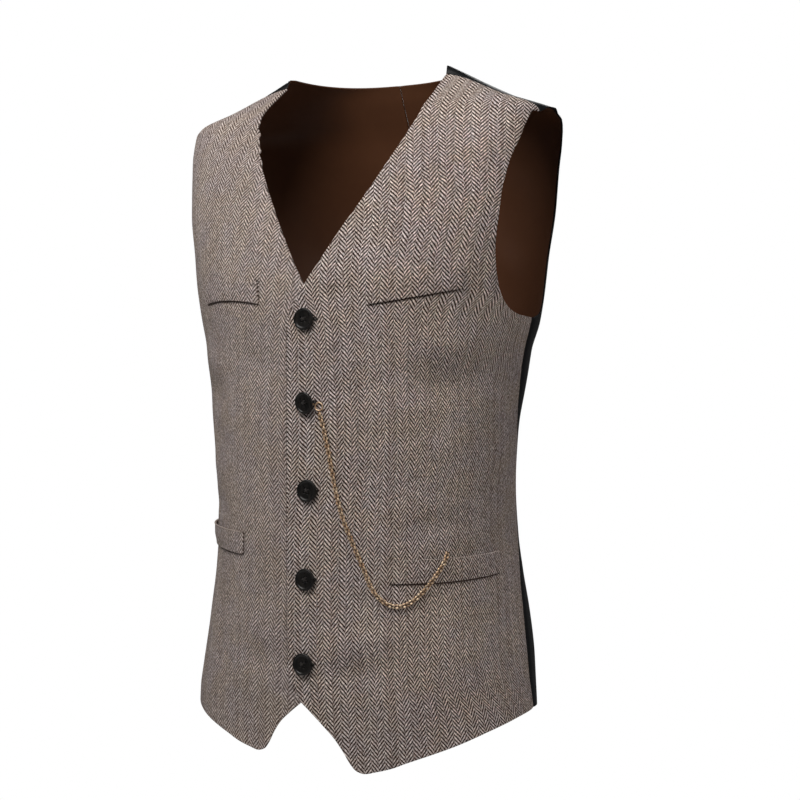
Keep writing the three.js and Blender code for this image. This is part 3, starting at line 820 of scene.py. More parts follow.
def herringbone_group():
    """Herringbone twill of two light over two dark yarns. Whole numbers count the warp ends
    and the picks; a light warp shows where (pick + direction x end) mod 4 is under 2, and the
    direction turns at each stripe. Gives the share of light yarn, the yarn's tone and relief."""
    n, given, out = group(
        "herringbone",
        [("Vector", "NodeSocketVector", None), ("End", "NodeSocketFloat", 0.00085),
         ("Pick", "NodeSocketFloat", 0.00101), ("Ends", "NodeSocketFloat", 8.0),
         ("Break", "NodeSocketFloat", 2.0)],
        [("Light", "NodeSocketFloat"), ("Tone", "NodeSocketFloat"),
         ("Relief", "NodeSocketFloat")],
    )
    vector, end_size, pick_size, ends, turn_break = (
        given.outputs[k] for k in ("Vector", "End", "Pick", "Ends", "Break")
    )

    def blend(share, a, b):
        """share a + (1 - share) b"""
        rest = n.math("SUBTRACT", 1.0, share)
        return n.math("ADD", n.math("MULTIPLY", a, share), n.math("MULTIPLY", b, rest))

    def bulge(counted):
        """1 - (2 (fraction - 0.5))^2: round over the width of a yarn."""
        off = n.math("ABSOLUTE", n.math("SUBTRACT", n.math("FRACT", counted), 0.5))
        return n.math("SUBTRACT", 1.0, n.math("POWER", n.math("MULTIPLY", off, 2.0), 2.0))

    parts = n.add("ShaderNodeSeparateXYZ")
    n.put(parts.inputs[0], vector)
    wave = n.math("MULTIPLY", n.math("SUBTRACT", n.noise(vector, WANDER_SCALE), 0.5), WANDER)
    u = n.math("ADD", n.math("DIVIDE", parts.outputs[0], end_size), wave)
    v = n.math("ADD", n.math("DIVIDE", parts.outputs[1], pick_size), wave)
    end, pick = n.math("FLOOR", u), n.math("FLOOR", v)
    stripe = n.math("FLOOR", n.math("DIVIDE", n.math("ADD", end, 0.5), ends))
    local = n.math("SUBTRACT", end, n.math("MULTIPLY", stripe, ends))
    odd = n.math("FLOORED_MODULO", stripe, 2.0)
    back = n.math("SUBTRACT", n.math("SUBTRACT", ends, 1.0), local)
    slant = n.math("ADD", blend(odd, back, local), n.math("MULTIPLY", odd, turn_break))
    over = n.math("LESS_THAN", n.math("FLOORED_MODULO", n.math("ADD", pick, slant), 4.0), 2.0)
    relief = blend(over, bulge(u), n.math("MULTIPLY", bulge(v), WEFT_HEIGHT))
    hair = n.noise(vector, HAIR_SCALE, 3.0, 0.6)
    yarn = blend(over, n.scatter(end, 3.0), n.scatter(pick, 7.0))
    tone = blend(YARN_TONE, yarn, n.scatter(end, pick))
    n.put(out.inputs["Light"], over)
    n.put(out.inputs["Tone"], blend(HAIR_TONE, hair, tone))
    n.put(out.inputs["Relief"], n.math("ADD", relief, n.math("MULTIPLY", hair, HAIR_HEIGHT)))
    return n.tree


WEAR = wear_group()
HERRINGBONE = herringbone_group()

LIGHT_YARN = (1.0, 0.945, 0.895, 1)
LIGHT_YARN_LOW = (0.43, 0.35, 0.305, 1)
DARK_YARN = (0.055, 0.021, 0.012, 1)
DARK_YARN_LOW = (0.004, 0.001, 0.0006, 1)
NAP = (0.37, 0.305, 0.27, 1)
GREY_CAST = (0.97, 0.925, 0.955, 1)
BROWN_CAST = (1.0, 0.935, 0.885, 1)
CAST_SCALE = 38.0
FLECK_SCALE = 480.0
FLECK_TONES = (0.66, 1.32)


def tweed_material(name, nap):
    """Brown and cream herringbone wool: woven yarns, flecks and uneven dye, its pattern
    softened by the share of a hairy nap."""
    made, n, shader = material(
        name, Roughness=0.95, Sheen_Weight=0.07, Sheen_Roughness=0.6, Specular_IOR_Level=0.04
    )
    weave = placed_group(n, HERRINGBONE, Vector=n.uv())
    tone = n.spread(weave.outputs["Tone"], 0.27, 0.73)
    light = n.mix(tone, LIGHT_YARN_LOW, LIGHT_YARN)
    dark = n.mix(tone, DARK_YARN_LOW, DARK_YARN)
    cloth = n.mix(nap, n.mix(weave.outputs["Light"], dark, light), NAP)
    place = n.place()
    dye = placed_group(n, WEAR, Vector=place, Patch=16.0, Depth=0.17)
    fleck = n.spread(n.noise(place, FLECK_SCALE), 0.34, 0.66, *FLECK_TONES)
    shade = n.grey(n.math("MULTIPLY", dye.outputs[0], fleck))
    cast = n.spread(n.noise(place, CAST_SCALE, 3.0), 0.38, 0.62)
    cloth = n.mix(1.0, cloth, shade, "MULTIPLY")
    cast = n.mix(cast, GREY_CAST, BROWN_CAST)
    n.put(shader.inputs["Base Color"], n.mix(1.0, cloth, cast, "MULTIPLY"))
    bumped(n, shader, weave.outputs["Relief"], 0.00028, 0.8)
    return made


def satin_material(name, base, patch_depth, sheen, roughness, specular):
    """Lining satin: a fine close weave with slubs, uneven gloss and a soft sheen."""
    made, n, shader = material(
        name, Sheen_Weight=sheen, Sheen_Roughness=0.35, Specular_IOR_Level=specular
    )
    uv = n.uv()
    slub = n.noise(n.stretched(uv, (1, 0.12, 1)), 2600.0)
    thread = n.bands(uv, "X", 900.0, 0.6)
    dye = placed_group(n, WEAR, Vector=n.place(), Patch=12.0, Depth=patch_depth)
    n.put(shader.inputs["Base Color"], n.mix(1.0, base, n.grey(dye.outputs[0]), "MULTIPLY"))
    n.put(shader.inputs["Roughness"], n.spread(slub, 0.2, 0.8, roughness - 0.06, roughness + 0.08))
    height = n.math("ADD", slub, n.math("MULTIPLY", thread, 0.4))
    bumped(n, shader, height, 0.00006, 0.5)
    return made


def horn_material():
    """Black horn-like resin: faint streaks, uneven gloss from worn patches and fine turning marks.
    """
    made, n, shader = material("button horn", Specular_IOR_Level=0.26, Coat_Weight=0.05)
    place = n.place()
    share = n.spread(n.noise(n.stretched(place, (1, 1, 0.25)), 420.0, 3.0), 0.35, 0.75)
    n.put(shader.inputs["Base Color"], n.mix(share, HORN_DARK, HORN_STREAK))
    wear = placed_group(n, WEAR, Vector=place, Patch=300.0, Depth=0.5)
    n.put(shader.inputs["Roughness"], n.math("MULTIPLY", wear.outputs[0], 0.3))
    bumped(n, shader, n.noise(place, 1400.0), 0.00005, 0.4)
    return made


def thread_material(name, dark, light):
    """Sewing thread: tight twist bands and fibre flecks."""
    made, n, shader = material(name, Roughness=0.7, Sheen_Weight=0.2, Specular_IOR_Level=0.3)
    place = n.place()
    twist = n.bands(place, "DIAGONAL", 700.0, 1.5)
    share = n.math("MULTIPLY", twist, n.noise(place, 1800.0))
    n.put(shader.inputs["Base Color"], n.mix(share, dark, light))
    bumped(n, shader, twist, 0.00008, 0.6)
    return made


HORN_DARK = (0.006, 0.006, 0.006, 1)
HORN_STREAK = (0.022, 0.019, 0.017, 1)
GILT_LOW = (0.62, 0.38, 0.22, 1)
GILT_BRIGHT = (1.0, 0.80, 0.57, 1)
# colour of the painted shade where the links touch, towards each link's ends
LINK_SHADE_COLOUR = (0.11, 0.058, 0.032, 1)
# distances from a link's middle between which the painted shade where the links touch begins, in
# metres
LINK_SHADE_REACH = (0.0006, 0.0014)


def gilt_material():
    """Pale gilt wire, brighter and darker in soft random patches, with painted shade: its colour
    darkens towards each link's ends, where the links touch.
    """
    made, n, shader = material("chain gilt", Metallic=0.75)
    place = n.place()
    wear = placed_group(n, WEAR, Vector=place, Patch=260.0, Depth=0.9)
    share = n.spread(wear.outputs[0], 0.8, 1.2)
    gilt = n.mix(share, GILT_LOW, GILT_BRIGHT)
    parts = n.add("ShaderNodeSeparateXYZ")
    n.put(parts.inputs[0], n.uv())
    link_shade_share = n.spread(n.math("ABSOLUTE", parts.outputs[0]), *LINK_SHADE_REACH)
    # painted shade: the base colour darkens towards the link's ends, where it meets the next link
    n.put(shader.inputs["Base Color"], n.mix(link_shade_share, gilt, LINK_SHADE_COLOUR))
    n.put(shader.inputs["Roughness"], n.spread(share, 0.0, 1.0, 0.5, 0.36))
    bumped(n, shader, n.noise(place, 1500.0), 0.00004, 0.4)
    return made


TWEED = tweed_material("tweed", 0.0)
TWEED_UNDER = tweed_material("tweed under", 0.2)
SATIN = satin_material("back satin", (0.0034, 0.0038, 0.0044, 1), 0.25, 0.018, 0.44, 0.2)
LINING = satin_material("lining", (0.105, 0.040, 0.017, 1), 0.2, 0.04, 0.5, 0.25)
HORN = horn_material()
DARK_THREAD = thread_material("dark thread", (0.012, 0.010, 0.009, 1), (0.05, 0.04, 0.035, 1))
BROWN_THREAD = thread_material("brown thread", (0.04, 0.021, 0.015, 1), (0.13, 0.075, 0.055, 1))
PALE_THREAD = thread_material("pale thread", (0.30, 0.24, 0.205, 1), (0.72, 0.62, 0.55, 1))
GILT = gilt_material()


# -------------------- fronts
FACING_WIDTH = 62
EDGE_TURN = 3
BUTTON_XS = (2.5, 4.8, 5.8, 3.9, 1.0)
BUTTON_HEIGHTS = (-229.5, -304.9, -385.3, -465.9, -543.1)
BUTTON_DIMPLE = 0.9
DIMPLE_SPREAD = 13
SEAM_DIP = 0.9
SEAM_REACH = 3.2
SEAM_FADE = 16
WAVE_FROM = -30
WAVE_TO = -92
WAVE_DEPTH = 1.5
WAVE_LENGTH = 15
WAVE_REACH = 7
WAVE_EASE = (12, 16)
# a second wave on the first: its height and its length, as shares
WAVE_SECOND = (0.6, 0.61)
BACK_CENTRE_FADE = 14
FLARE = 4.5
FLARE_REACH = 5.0
FLARE_LOWEST = -75
# where the flare begins and ends behind the shoulder tip, and how softly
FLARE_FROM = 3
FLARE_TO = 46
FLARE_EASE = (8, 20)

# name, side, ring angle and z of the lower edge at both ends, sag, height at both ends, stand
WELTS = (
    ("chest_welt_left", 1, 18.5, -217.5, 52, -203.5, 0, 20, 19, 0.6),
    ("chest_welt_right", -1, 13.9, -214.5, 44, -212.2, -3.4, 20, 19, 0.6),
    ("hip_welt_left", 1, 29.8, -468, 82, -460.5, 1.5, 22, 20, 2.4),
    ("hip_welt_right", -1, 27.3, -447.3, 80, -437.5, 0, 21, 20, 2.0),
)
UNDER_SHIFT = (3.2, 1.4)
WELT_GROOVE = 0.6
WELT_GROOVE_WIDTH = 1.5
WELT_GROOVE_LOW = 1.2
# how far past the welt's ends the groove runs, and how softly, as shares of its length
GROOVE_PAST = 0.02
GROOVE_EASE = 0.05
# height over which the seams' dips begin below the armhole, and a crease's fade at the centre
ARM_FADE = 6
CENTRE_FROM = 6
CENTRE_FADE = 20


def tweed_of(side):
    """The tweed of a side's front."""
    return TWEED if side > 0 else TWEED_UNDER


def tweed_place(side, p):
    """Place on the cloth of points of a front, the under front's pattern shifted."""
    return cloth_place(p) if side > 0 else cloth_place(p) * (-1, 1) + UNDER_SHIFT


def overlap_lift(x):
    """How far the upper front stands out where it passes over the other front."""
    return OVERLAP_LIFT * rise((LIFT_TO - x) / (LIFT_TO - LIFT_FROM))


def welt_line(w, s):
    """Angle and height of a welt's lower edge at a share of its length."""
    return mix(w[2], w[4], s), mix(w[3], w[5], s) + w[6] * -4 * s * (1 - s)


def below_arm(z):
    """Soft step from 0 above the armhole's bottom to 1 below it."""
    return rise((ARM_BOTTOM - z) / ARM_FADE + 1)


def seam_dip(distance):
    """The cloth's dip into a seam: minus a bell of the distance to it."""
    return -SEAM_DIP * np.exp(-((distance / SEAM_REACH) ** 2))


def welt_grooves(side, p):
    """A narrow groove in the cloth where each welt's lower edge is sewn in."""
    angle = np.abs(angle_of_point(p))
    total = np.zeros(angle.shape)
    for w in WELTS:
        if w[1] == side:
            s = (angle - w[2]) / (w[4] - w[2])
            low = welt_line(w, np.clip(s, 0, 1))[1] - WELT_GROOVE_LOW
            ends = rise((s + GROOVE_PAST) / GROOVE_EASE)
            ends = ends * rise((1 + GROOVE_PAST - s) / GROOVE_EASE)
            total -= WELT_GROOVE * ends * np.exp(-(((p[..., 2] - low) / WELT_GROOVE_WIDTH) ** 2))
    return total


def button_dimples(p):
    """Soft hollows under the buttons, and the shallow pull between them."""
    total = np.zeros(p.shape[:-1])
    for x, z in zip(BUTTON_XS, BUTTON_HEIGHTS):
        d2 = (p[..., 0] - x) ** 2 + (p[..., 2] - z) ** 2
        total -= BUTTON_DIMPLE * np.exp(-d2 / DIMPLE_SPREAD ** 2)
    return total


def crease_lift(side, p):
    """A front's creases; near the centre both fronts share one shape, and at the side seam
    the creases fade, so that the front and the back meet."""
    x, z = p[..., 0], p[..., 2]
    table = LEFT_CREASES if side > 0 else RIGHT_CREASES
    to_seam = seam_angle(z) - np.abs(angle_of_point(p))
    fade = 1 - below_arm(z) * (1 - rise(to_seam / SEAM_FADE))
    return creased(table, np.abs(x), z) * rise((x - CENTRE_FROM) / CENTRE_FADE) * fade


def front_lift(side, p, edges):
    """How far the front's cloth stands off the form: creases, button hollows, welt grooves
    and a dip into each seam."""
    _, to_seam, _, to_top = edges
    lift = crease_lift(side, p) + button_dimples(p) + welt_grooves(side, p)
    return lift + seam_dip(to_seam) * below_arm(p[..., 2]) + seam_dip(to_top)


def neck_wave(p, to_edge):
    """The turned neck edge of the under front waves a little near the shoulder."""
    z = p[..., 2]
    window = rise((WAVE_FROM - z) / WAVE_EASE[0]) * rise((z - WAVE_TO) / WAVE_EASE[1])
    turns = 2 * np.pi * z / WAVE_LENGTH
    wave = np.sin(turns) + WAVE_SECOND[0] * np.sin(turns / WAVE_SECOND[1])
    return WAVE_DEPTH * wave * window * np.exp(-((to_edge / WAVE_REACH) ** 2))


def cloth_piece(name, points, normals, wall, place, flip, materials, lining=None):
    """A shell of cloth with its materials, in place of its solid; lining marks inner faces."""
    if lining is None:
        lining = np.zeros(place.shape[:2], bool)
    piece = shell(name + "_cloth", points, normals, wall, place, flip, lining)
    for made in materials:
        piece.data.materials.append(made)
    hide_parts(name)
    return piece


def front_piece(side):
    """One front: the grid on the form, moved out by its creases and its overlap."""
    columns = with_edges(FRONT_COLUMNS, PANEL_LENGTH)
    grid = front_grid(columns, 0 if side > 0 else RIGHT_RISE)
    normals = outward(grid)
    edges = edge_distances(grid)
    lift = front_lift(side, grid, edges)
    lift = lift + (overlap_lift(grid[..., 0]) if side > 0 else neck_wave(grid, edges[0]))
    moved = (grid + normals * lift[..., None]) * (side, 1, 1)
    lining = (edges[0] > FACING_WIDTH) & (edges[1] > EDGE_TURN)
    return cloth_piece(
        "front_left" if side > 0 else "front_right", moved, normals * (side, 1, 1), FRONT_WALL,
        tweed_place(side, grid), side < 0, (tweed_of(side), LINING), lining,
    )


def back_piece(side):
    """Half a back: satin on the form, creased at the waist, dipping into its seams, its
    armhole edge lifting a little behind the shoulder tip."""
    columns = with_edges(BACK_COLUMNS, PANEL_LENGTH)
    grid = back_grid(columns)
    normals = outward(grid)
    to_centre, to_side, _, to_top = edge_distances(grid)
    x, y, z = np.moveaxis(grid, -1, 0)
    lift = creased(BACK_CREASES, x, z)
    lift *= rise(to_centre / BACK_CENTRE_FADE) * rise(to_side / SEAM_FADE)
    lift += seam_dip(to_centre) + seam_dip(to_side) * below_arm(z)
    lift += seam_dip(to_top) * (columns >= NECK_PART)[None, :]
    behind = y - TIP_Y
    window = rise((behind - FLARE_FROM) / FLARE_EASE[0]) * (z > FLARE_LOWEST)
    window = window * rise((FLARE_TO - behind) / FLARE_EASE[1])
    lift += FLARE * window * np.exp(-to_side / FLARE_REACH)
    moved = grid + normals * lift[..., None]
    moved[:, 0, 0] = SEAM_GAP / 2
    return cloth_piece(
        "back_left" if side > 0 else "back_right", moved * (side, 1, 1), normals * (side, 1, 1),
        BACK_WALL, cloth_place(grid) * (side, 1), side > 0, (SATIN, LINING),
        to_side > EDGE_TURN,
    )


# -------------------- what lies on the fronts
WELT_WALL = 1.5
WELT_SEAT = 0.1
WELT_SWELL = 0.6
WELT_COLUMNS = 70
WELT_ROWS = 14
WELT_LENGTH = 95
WELT_HEIGHT = 20


def on_front(side, angle, z, stand=0.0):
    """Point of the outer face of a front, its normal and the point of the form below it."""
    p = on_ring(angle, z)
    normal = outward(p)
    lift = button_dimples(p) + crease_lift(side, p) + stand
    if side > 0:
        lift = lift + overlap_lift(p[..., 0])
    q = p + normal * np.asarray(lift)[..., None]
    return q * (side, 1, 1), normal * (side, 1, 1), p


def at_x(x, z, stand):
    """Point of the upper front's outer face and its normal, from x and z."""
    return on_front(1, float(angle_of_x(x, z)), z, stand)[:2]


def welt_piece(w):
    """A welt: a folded strip laid on the front, sewn at its lower edge and ends, its upper
    part standing off by a soft step of v times sin(pi s)."""
    name, side, _, _, _, _, _, tall0, tall1, stand = w
    s = with_edges(WELT_COLUMNS, WELT_LENGTH)[None, :]
    v = with_edges(WELT_ROWS, WELT_HEIGHT)[:, None]
    angle, bottom = welt_line(w, s)
    z = bottom + mix(tall0, tall1, s) * v
    out = WELT_SEAT + WELT_WALL + stand * rise(v / WELT_SWELL) * np.sin(np.pi * s)
    outer, normal, flat = on_front(side, angle + 0 * z, z, out)
    return cloth_piece(
        name, outer, normal, WELT_WALL, tweed_place(side, flat), side < 0, (tweed_of(side),),
    )


STITCH_STEPS = 5
STITCH_SIDES = 6
# thickness at a stitch's ends as a share of its middle's
STITCH_TIP = 0.55


def stitch(start, end, normal, radius, arch):
    """One visible stitch: a thin tube that arches off the cloth between its two ends, by
    arch times sin(pi t)."""
    t = np.linspace(0, 1, STITCH_STEPS)[:, None]
    bell = np.sin(np.pi * t)
    path = mix(start, end, t) + normal * arch * bell
    return tube(path, radius * mix(STITCH_TIP, 1, bell[:, 0]), STITCH_SIDES)


def stitch_at(start, end, stand, radius, arch):
    """A stitch on the upper front between two places given by x and z."""
    (first, _), (last, normal) = at_x(*start, stand), at_x(*end, stand)
    return stitch(first, last, normal, radius, arch)


def thread_piece(name, parts, made):
    """One piece of thread from several tubes."""
    return new_object(name, *joined(parts), made=made)


# welt, count, first and last share of the welt's height, thickness, and that of the dark cord
# painted as shade in the sunk seam
TACKS = (
    ("chest_welt_left", 4, 0.02, 0.5, 0.3, 0.4),
    ("chest_welt_right", 4, 0.36, 1.1, 0.44, 0.42),
    ("hip_welt_left", 3, 0.5, 0.96, 0.18, 0.75),
    ("hip_welt_right", 6, 0.1, 0.98, 0.3, 0.3),
)
# degrees and millimetres from the welt's end to both ends of a tack, its outer stand and arch
TACK_IN = (1.1, 1.5)
TACK_OUT = (-0.6, -0.9)
TACK_STAND = 0.15
TACK_ARCH = 0.35
# the dark cord of painted shade in each welt's sunk seam: its drop below the edge, stand, steps and
# taper
SEAM_SHADE_LOW = 0.7
SEAM_SHADE_STAND = 0.1
SEAM_SHADE_STEPS = 60
SEAM_SHADE_TAPER = 0.4


def welt_tacks_and_seam_shade():
    """Slanted tacking stitches down the inner end of each welt, and a dark thread cord along its
    lower edge: painted shade standing for the shadow in the sunk seam."""
    parts = []
    for w, (_, count, first, last, thick, seam_shade_thick) in zip(WELTS, TACKS):
        side = w[1]
        angle, bottom = welt_line(w, np.array(0.0))
        for share in np.linspace(first, last, count):
            z = bottom + w[7] * share
            inside, normal, _ = on_front(
                side, angle + TACK_IN[0], z + TACK_IN[1], WELT_SEAT + WELT_WALL
            )
            outside, _, _ = on_front(side, angle + TACK_OUT[0], z + TACK_OUT[1], TACK_STAND)
            parts.append(stitch(inside, outside, normal, thick, TACK_ARCH))
        # a dark cord in the groove: painted shade of the sunk seam
        s = np.linspace(0.015, 0.985, SEAM_SHADE_STEPS)
        angle, bottom = welt_line(w, s)
        path, _, _ = on_front(side, angle, bottom - SEAM_SHADE_LOW, SEAM_SHADE_STAND)
        parts.append(tube(path, seam_shade_thick * np.sin(np.pi * s) ** SEAM_SHADE_TAPER, STITCH_SIDES))
    thread_piece("welt_tacks_and_seam_shade", parts, BROWN_THREAD)


# row of the welt, stitches along the fold, share of a step each covers, thickness
FOLDS = ((2, 44, 0.5, 0.36), (3, 60, 1.1, 0.5))
FOLD_LOW = 0.5
FOLD_SINK = 0.1
FOLD_ARCH = 0.2


def fold_stitches():
    """Pale edge stitches along the upper fold of the hip welts."""
    parts = []
    for row, count, cover, thick in FOLDS:
        w = WELTS[row]
        for k in range(count):
            s = np.clip((k + 0.5 + cover * np.array([-0.5, 0.5])) / count, 0.01, 0.99)
            angle, bottom = welt_line(w, s)
            z = bottom + mix(w[7], w[8], s) - FOLD_LOW
            stand = WELT_SEAT + WELT_WALL + w[9] * np.sin(np.pi * s)
            ends, normal, _ = on_front(w[1], angle, z, stand - FOLD_SINK)
            parts.append(stitch(ends[0], ends[1], normal[0], thick, FOLD_ARCH))
    thread_piece("welt_fold_stitches", parts, PALE_THREAD)


# pick stitches on the upper front's edge, partly real stitching and partly painted shade of the
# edge's shadow line
EDGE_STEP = 2.6
EDGE_IN = 0.9
EDGE_FROM = -236
EDGE_TO = -548
# where a stitch begins and ends within its step, its stand, thickness and arch
EDGE_SPAN = (0.2, 0.5)
EDGE_STITCH = (0.05, 0.34, 0.2)


def edge_stitches_and_shade():
    """Small dark pick stitches down the edge of the upper front, dark enough to stand also as
    painted shade of the edge's shadow line.
    """
    x = -OVERLAP + EDGE_IN
    thread_piece("edge_stitches_and_shade", [
        stitch_at((x, z + EDGE_SPAN[0]), (x, z + EDGE_STEP - EDGE_SPAN[1]), *EDGE_STITCH)
        for z in np.arange(EDGE_TO, EDGE_FROM, EDGE_STEP)
    ], BROWN_THREAD)


HOLE_FROM = -1.0
# distance of each buttonhole's far end from its button's middle
HOLE_TO = (11.0, 7.5, 8.5, 9.0, 9.2)
HOLE_STITCHES = 19
# near and far ends of the stitches from the slit along its lips, and from its end in the fan
LIP_REACH = (0.25, 1.75)
FAN_REACH = (0.3, 1.6)
FAN_GAP = 0.4
FAN_ANGLES = np.radians(np.linspace(-70, 70, 6))
# stand, thickness and arch of the stitches
LIP_STITCH = (0.12, 0.3, 0.42)
FAN_STITCH = (0.12, 0.3, 0.4)


def buttonholes():
    """Worked buttonholes: a bar of purl stitches along each lip and a fan round the far end."""
    parts = []
    for x0, z0, far in zip(BUTTON_XS, BUTTON_HEIGHTS, HOLE_TO):
        for lip in (-1, 1):
            for x in x0 + np.linspace(HOLE_FROM, far, HOLE_STITCHES):
                near, outer = ((x, z0 + lip * reach) for reach in LIP_REACH)
                parts.append(stitch_at(near, outer, *LIP_STITCH))
        for a in FAN_ANGLES:
            near, outer = (
                (x0 + far + FAN_GAP + reach * math.cos(a), z0 + reach * math.sin(a))
                for reach in FAN_REACH
            )
            parts.append(stitch_at(near, outer, *FAN_STITCH))
    return thread_piece("buttonholes", parts, DARK_THREAD)


# -------------------- buttons
BUTTON_RADIUS = 10.2
BUTTON_THICK = 3.6
BUTTON_STAND = 0.45
BAR_BUTTON_STAND = 2.3
BUTTON_SIDES = 72
HOLE_OFFSET = 1.9
HOLE_RADIUS = 1.0
HOLE_DEPTH = 1.7
# distance from the axis and height, as shares of the radius and the thickness
BUTTON_PROFILE = np.array([
    [0, 0], [0.3, 0], [0.62, 0.0], [0.8, 0.06], [0.93, 0.22], [0.99, 0.42], [1.0, 0.55],
    [0.99, 0.72], [0.965, 0.87], [0.925, 0.965], [0.88, 1.0], [0.835, 0.985], [0.8, 0.93],
    [0.77, 0.84], [0.735, 0.775], [0.68, 0.745], [0.6, 0.73], [0.52, 0.715],
])
FACE_STEPS = 26
FACE_SHARE = 0.71
# button: turn about the upward axis, turn about the rightward axis, spin, in degrees
BUTTON_POSES = ((0, 0, 8), (-9.2, 9.2, 35), (2, 0, -14), (-1, 1, 21), (1, -1, -5))


def frame_at(x, z, stand):
    """Point on the upper front with a right, up and outward direction, as rows."""
    q, normal = at_x(x, z, stand)
    right = np.cross([0, 0, 1], normal)
    right /= np.linalg.norm(right)
    return q, np.stack([right, np.cross(normal, right), normal])


def turned(first, second, degrees):
    """Matrix that turns axes, carrying the first of them toward the second."""
    c, s = math.cos(math.radians(degrees)), math.sin(math.radians(degrees))
    matrix = np.eye(3)
    matrix[first, first] = matrix[second, second] = c
    matrix[first, second], matrix[second, first] = s, -s
    return matrix


def button_points():
    """A turned disc with a raised rim, its face sunk into four sewing holes. The holes are
    rounded pits: depth times a soft step of the distance to the nearest hole."""
    r = np.concatenate([BUTTON_PROFILE[1:, 0], np.linspace(0.5, 0.02, FACE_STEPS)])
    h = np.concatenate([BUTTON_PROFILE[1:, 1], np.full(FACE_STEPS, FACE_SHARE)])
    angle = np.arange(BUTTON_SIDES) * 2 * np.pi / BUTTON_SIDES
    x = BUTTON_RADIUS * r[:, None] * np.cos(angle)
    y = BUTTON_RADIUS * r[:, None] * np.sin(angle)
    gap = np.hypot(np.abs(x) - HOLE_OFFSET, np.abs(y) - HOLE_OFFSET)
    pit = rise((HOLE_RADIUS + 0.3 - gap) / 0.55)
    z = BUTTON_THICK * h[:, None] - np.where(h[:, None] > 0.65, HOLE_DEPTH * pit, 0)
    points = np.stack([x, y, z], -1).reshape(-1, 3)
    faces = capped(ring_numbers(len(r), BUTTON_SIDES), len(points))
    return np.concatenate([points, [[0, 0, 0], [0, 0, FACE_SHARE * BUTTON_THICK]]]), faces


STRAND_RADIUS = 0.26
STRAND_STEPS = 11
# distance between the strands and what a loose twist adds, their sink and arch, the middle's lift
STRAND_GAP = (0.34, 0.1)
STRAND_SINK = 1.0
STRAND_ARCH = 1.75
STRAND_ROUND = 0.55
MIDDLE_LIFT = 0.1
SHANK_RADIUS = 1.9
SHANK_WAIST = 0.35


def thread_parts(twist):
    """Black sewing thread: two crossing bars of three strands between the holes, each arched
    by a power of sin(pi t)."""
    parts = []
    for a, b in (((-1, -1), (1, 1)), ((-1, 1), (1, -1))):
        start, end = np.array(a) * HOLE_OFFSET, np.array(b) * HOLE_OFFSET
        along = (end - start) / np.linalg.norm(end - start)
        aside = np.array([-along[1], along[0]]) * (STRAND_GAP[0] + STRAND_GAP[1] * twist)
        t = np.linspace(0, 1, STRAND_STEPS)[:, None]
        arch = STRAND_ARCH * np.sin(np.pi * t) ** STRAND_ROUND - STRAND_SINK
        for k in (-1, 0, 1):
            flat = mix(start, end, t) + aside * k
            height = FACE_SHARE * BUTTON_THICK + arch + MIDDLE_LIFT * (k == 0)
            parts.append(tube(np.concatenate([flat, height], 1), STRAND_RADIUS, STITCH_SIDES))
    return parts


def shank_part(length):
    """Thread shank under the button, wound round with a waist in the middle."""
    t = np.linspace(0, 1, 7)
    path = np.stack([0 * t, 0 * t, mix(-length - 0.2, 0.1, t)], 1)
    return tube(path, SHANK_RADIUS - SHANK_WAIST * np.sin(np.pi * t), 16)


def button_pieces():
    """The five buttons, each with its sewing thread and shank as a piece of its own."""
    points, faces = button_points()
    for k, (x, z) in enumerate(zip(BUTTON_XS, BUTTON_HEIGHTS)):
        stand = (BAR_BUTTON_STAND if k == 1 else BUTTON_STAND) + BUTTON_DIMPLE
        q, axes = frame_at(x, z, 0.0)
        tip, roll, spin = BUTTON_POSES[k]
        axes = turned(1, 2, roll) @ turned(2, 0, tip) @ axes
        q = q + axes[2] * stand
        local = turned(0, 1, spin) @ axes
        name = "button_%d" % (k + 1)
        piece = new_object(name + "_horn", q + points @ local, faces, made=HORN)
        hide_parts(name)
        vertices, thread_faces = joined(thread_parts(k % 2) + [shank_part(stand)])
        new_object(name + "_thread", q + vertices @ local, thread_faces, made=DARK_THREAD)


# -------------------- watch chain
CHAIN_DIAMETER = 4.0
CHAIN_GAP = 0.6
LINK_LONG = 4.9
LINK_WIDE = 4.8
LINK_WIRE = 0.95
LINK_PITCH = 3.3
LINK_ROLLS = (34.0, -16.0)
LINK_ROCK = 9
RING_X = 17.5
RING_DROP = 4.0
RING_RADIUS = 3.7
RING_WIRE = 0.65
RING_STEPS = 40
RING_WAVE = 0.08
CHAIN_SINK = 0.3
BAR_RADIUS = 0.6
BAR_LENGTH = 9
BAR_GAP = 0.4
BAR_RISE = 2
# x, z and extra stand-off from the cloth
CHAIN_ROUTE = np.array([
    [18.4, -314.3, 0.6], [22, -326, 0], [28.6, -356, 0], [34.4, -387.5, 0], [40.6, -409, 0],
    [51, -436, 0], [60.5, -458.5, 0], [65.5, -471, 0], [72, -480, 0], [82, -487, 0],
    [92, -487.5, 0], [101, -482, 0], [108.5, -473, 0.4], [113, -465, 3.6], [119, -452, 4.4],
    [121.5, -443.5, 4.8], [122.3, -439.2, 3.0],
])


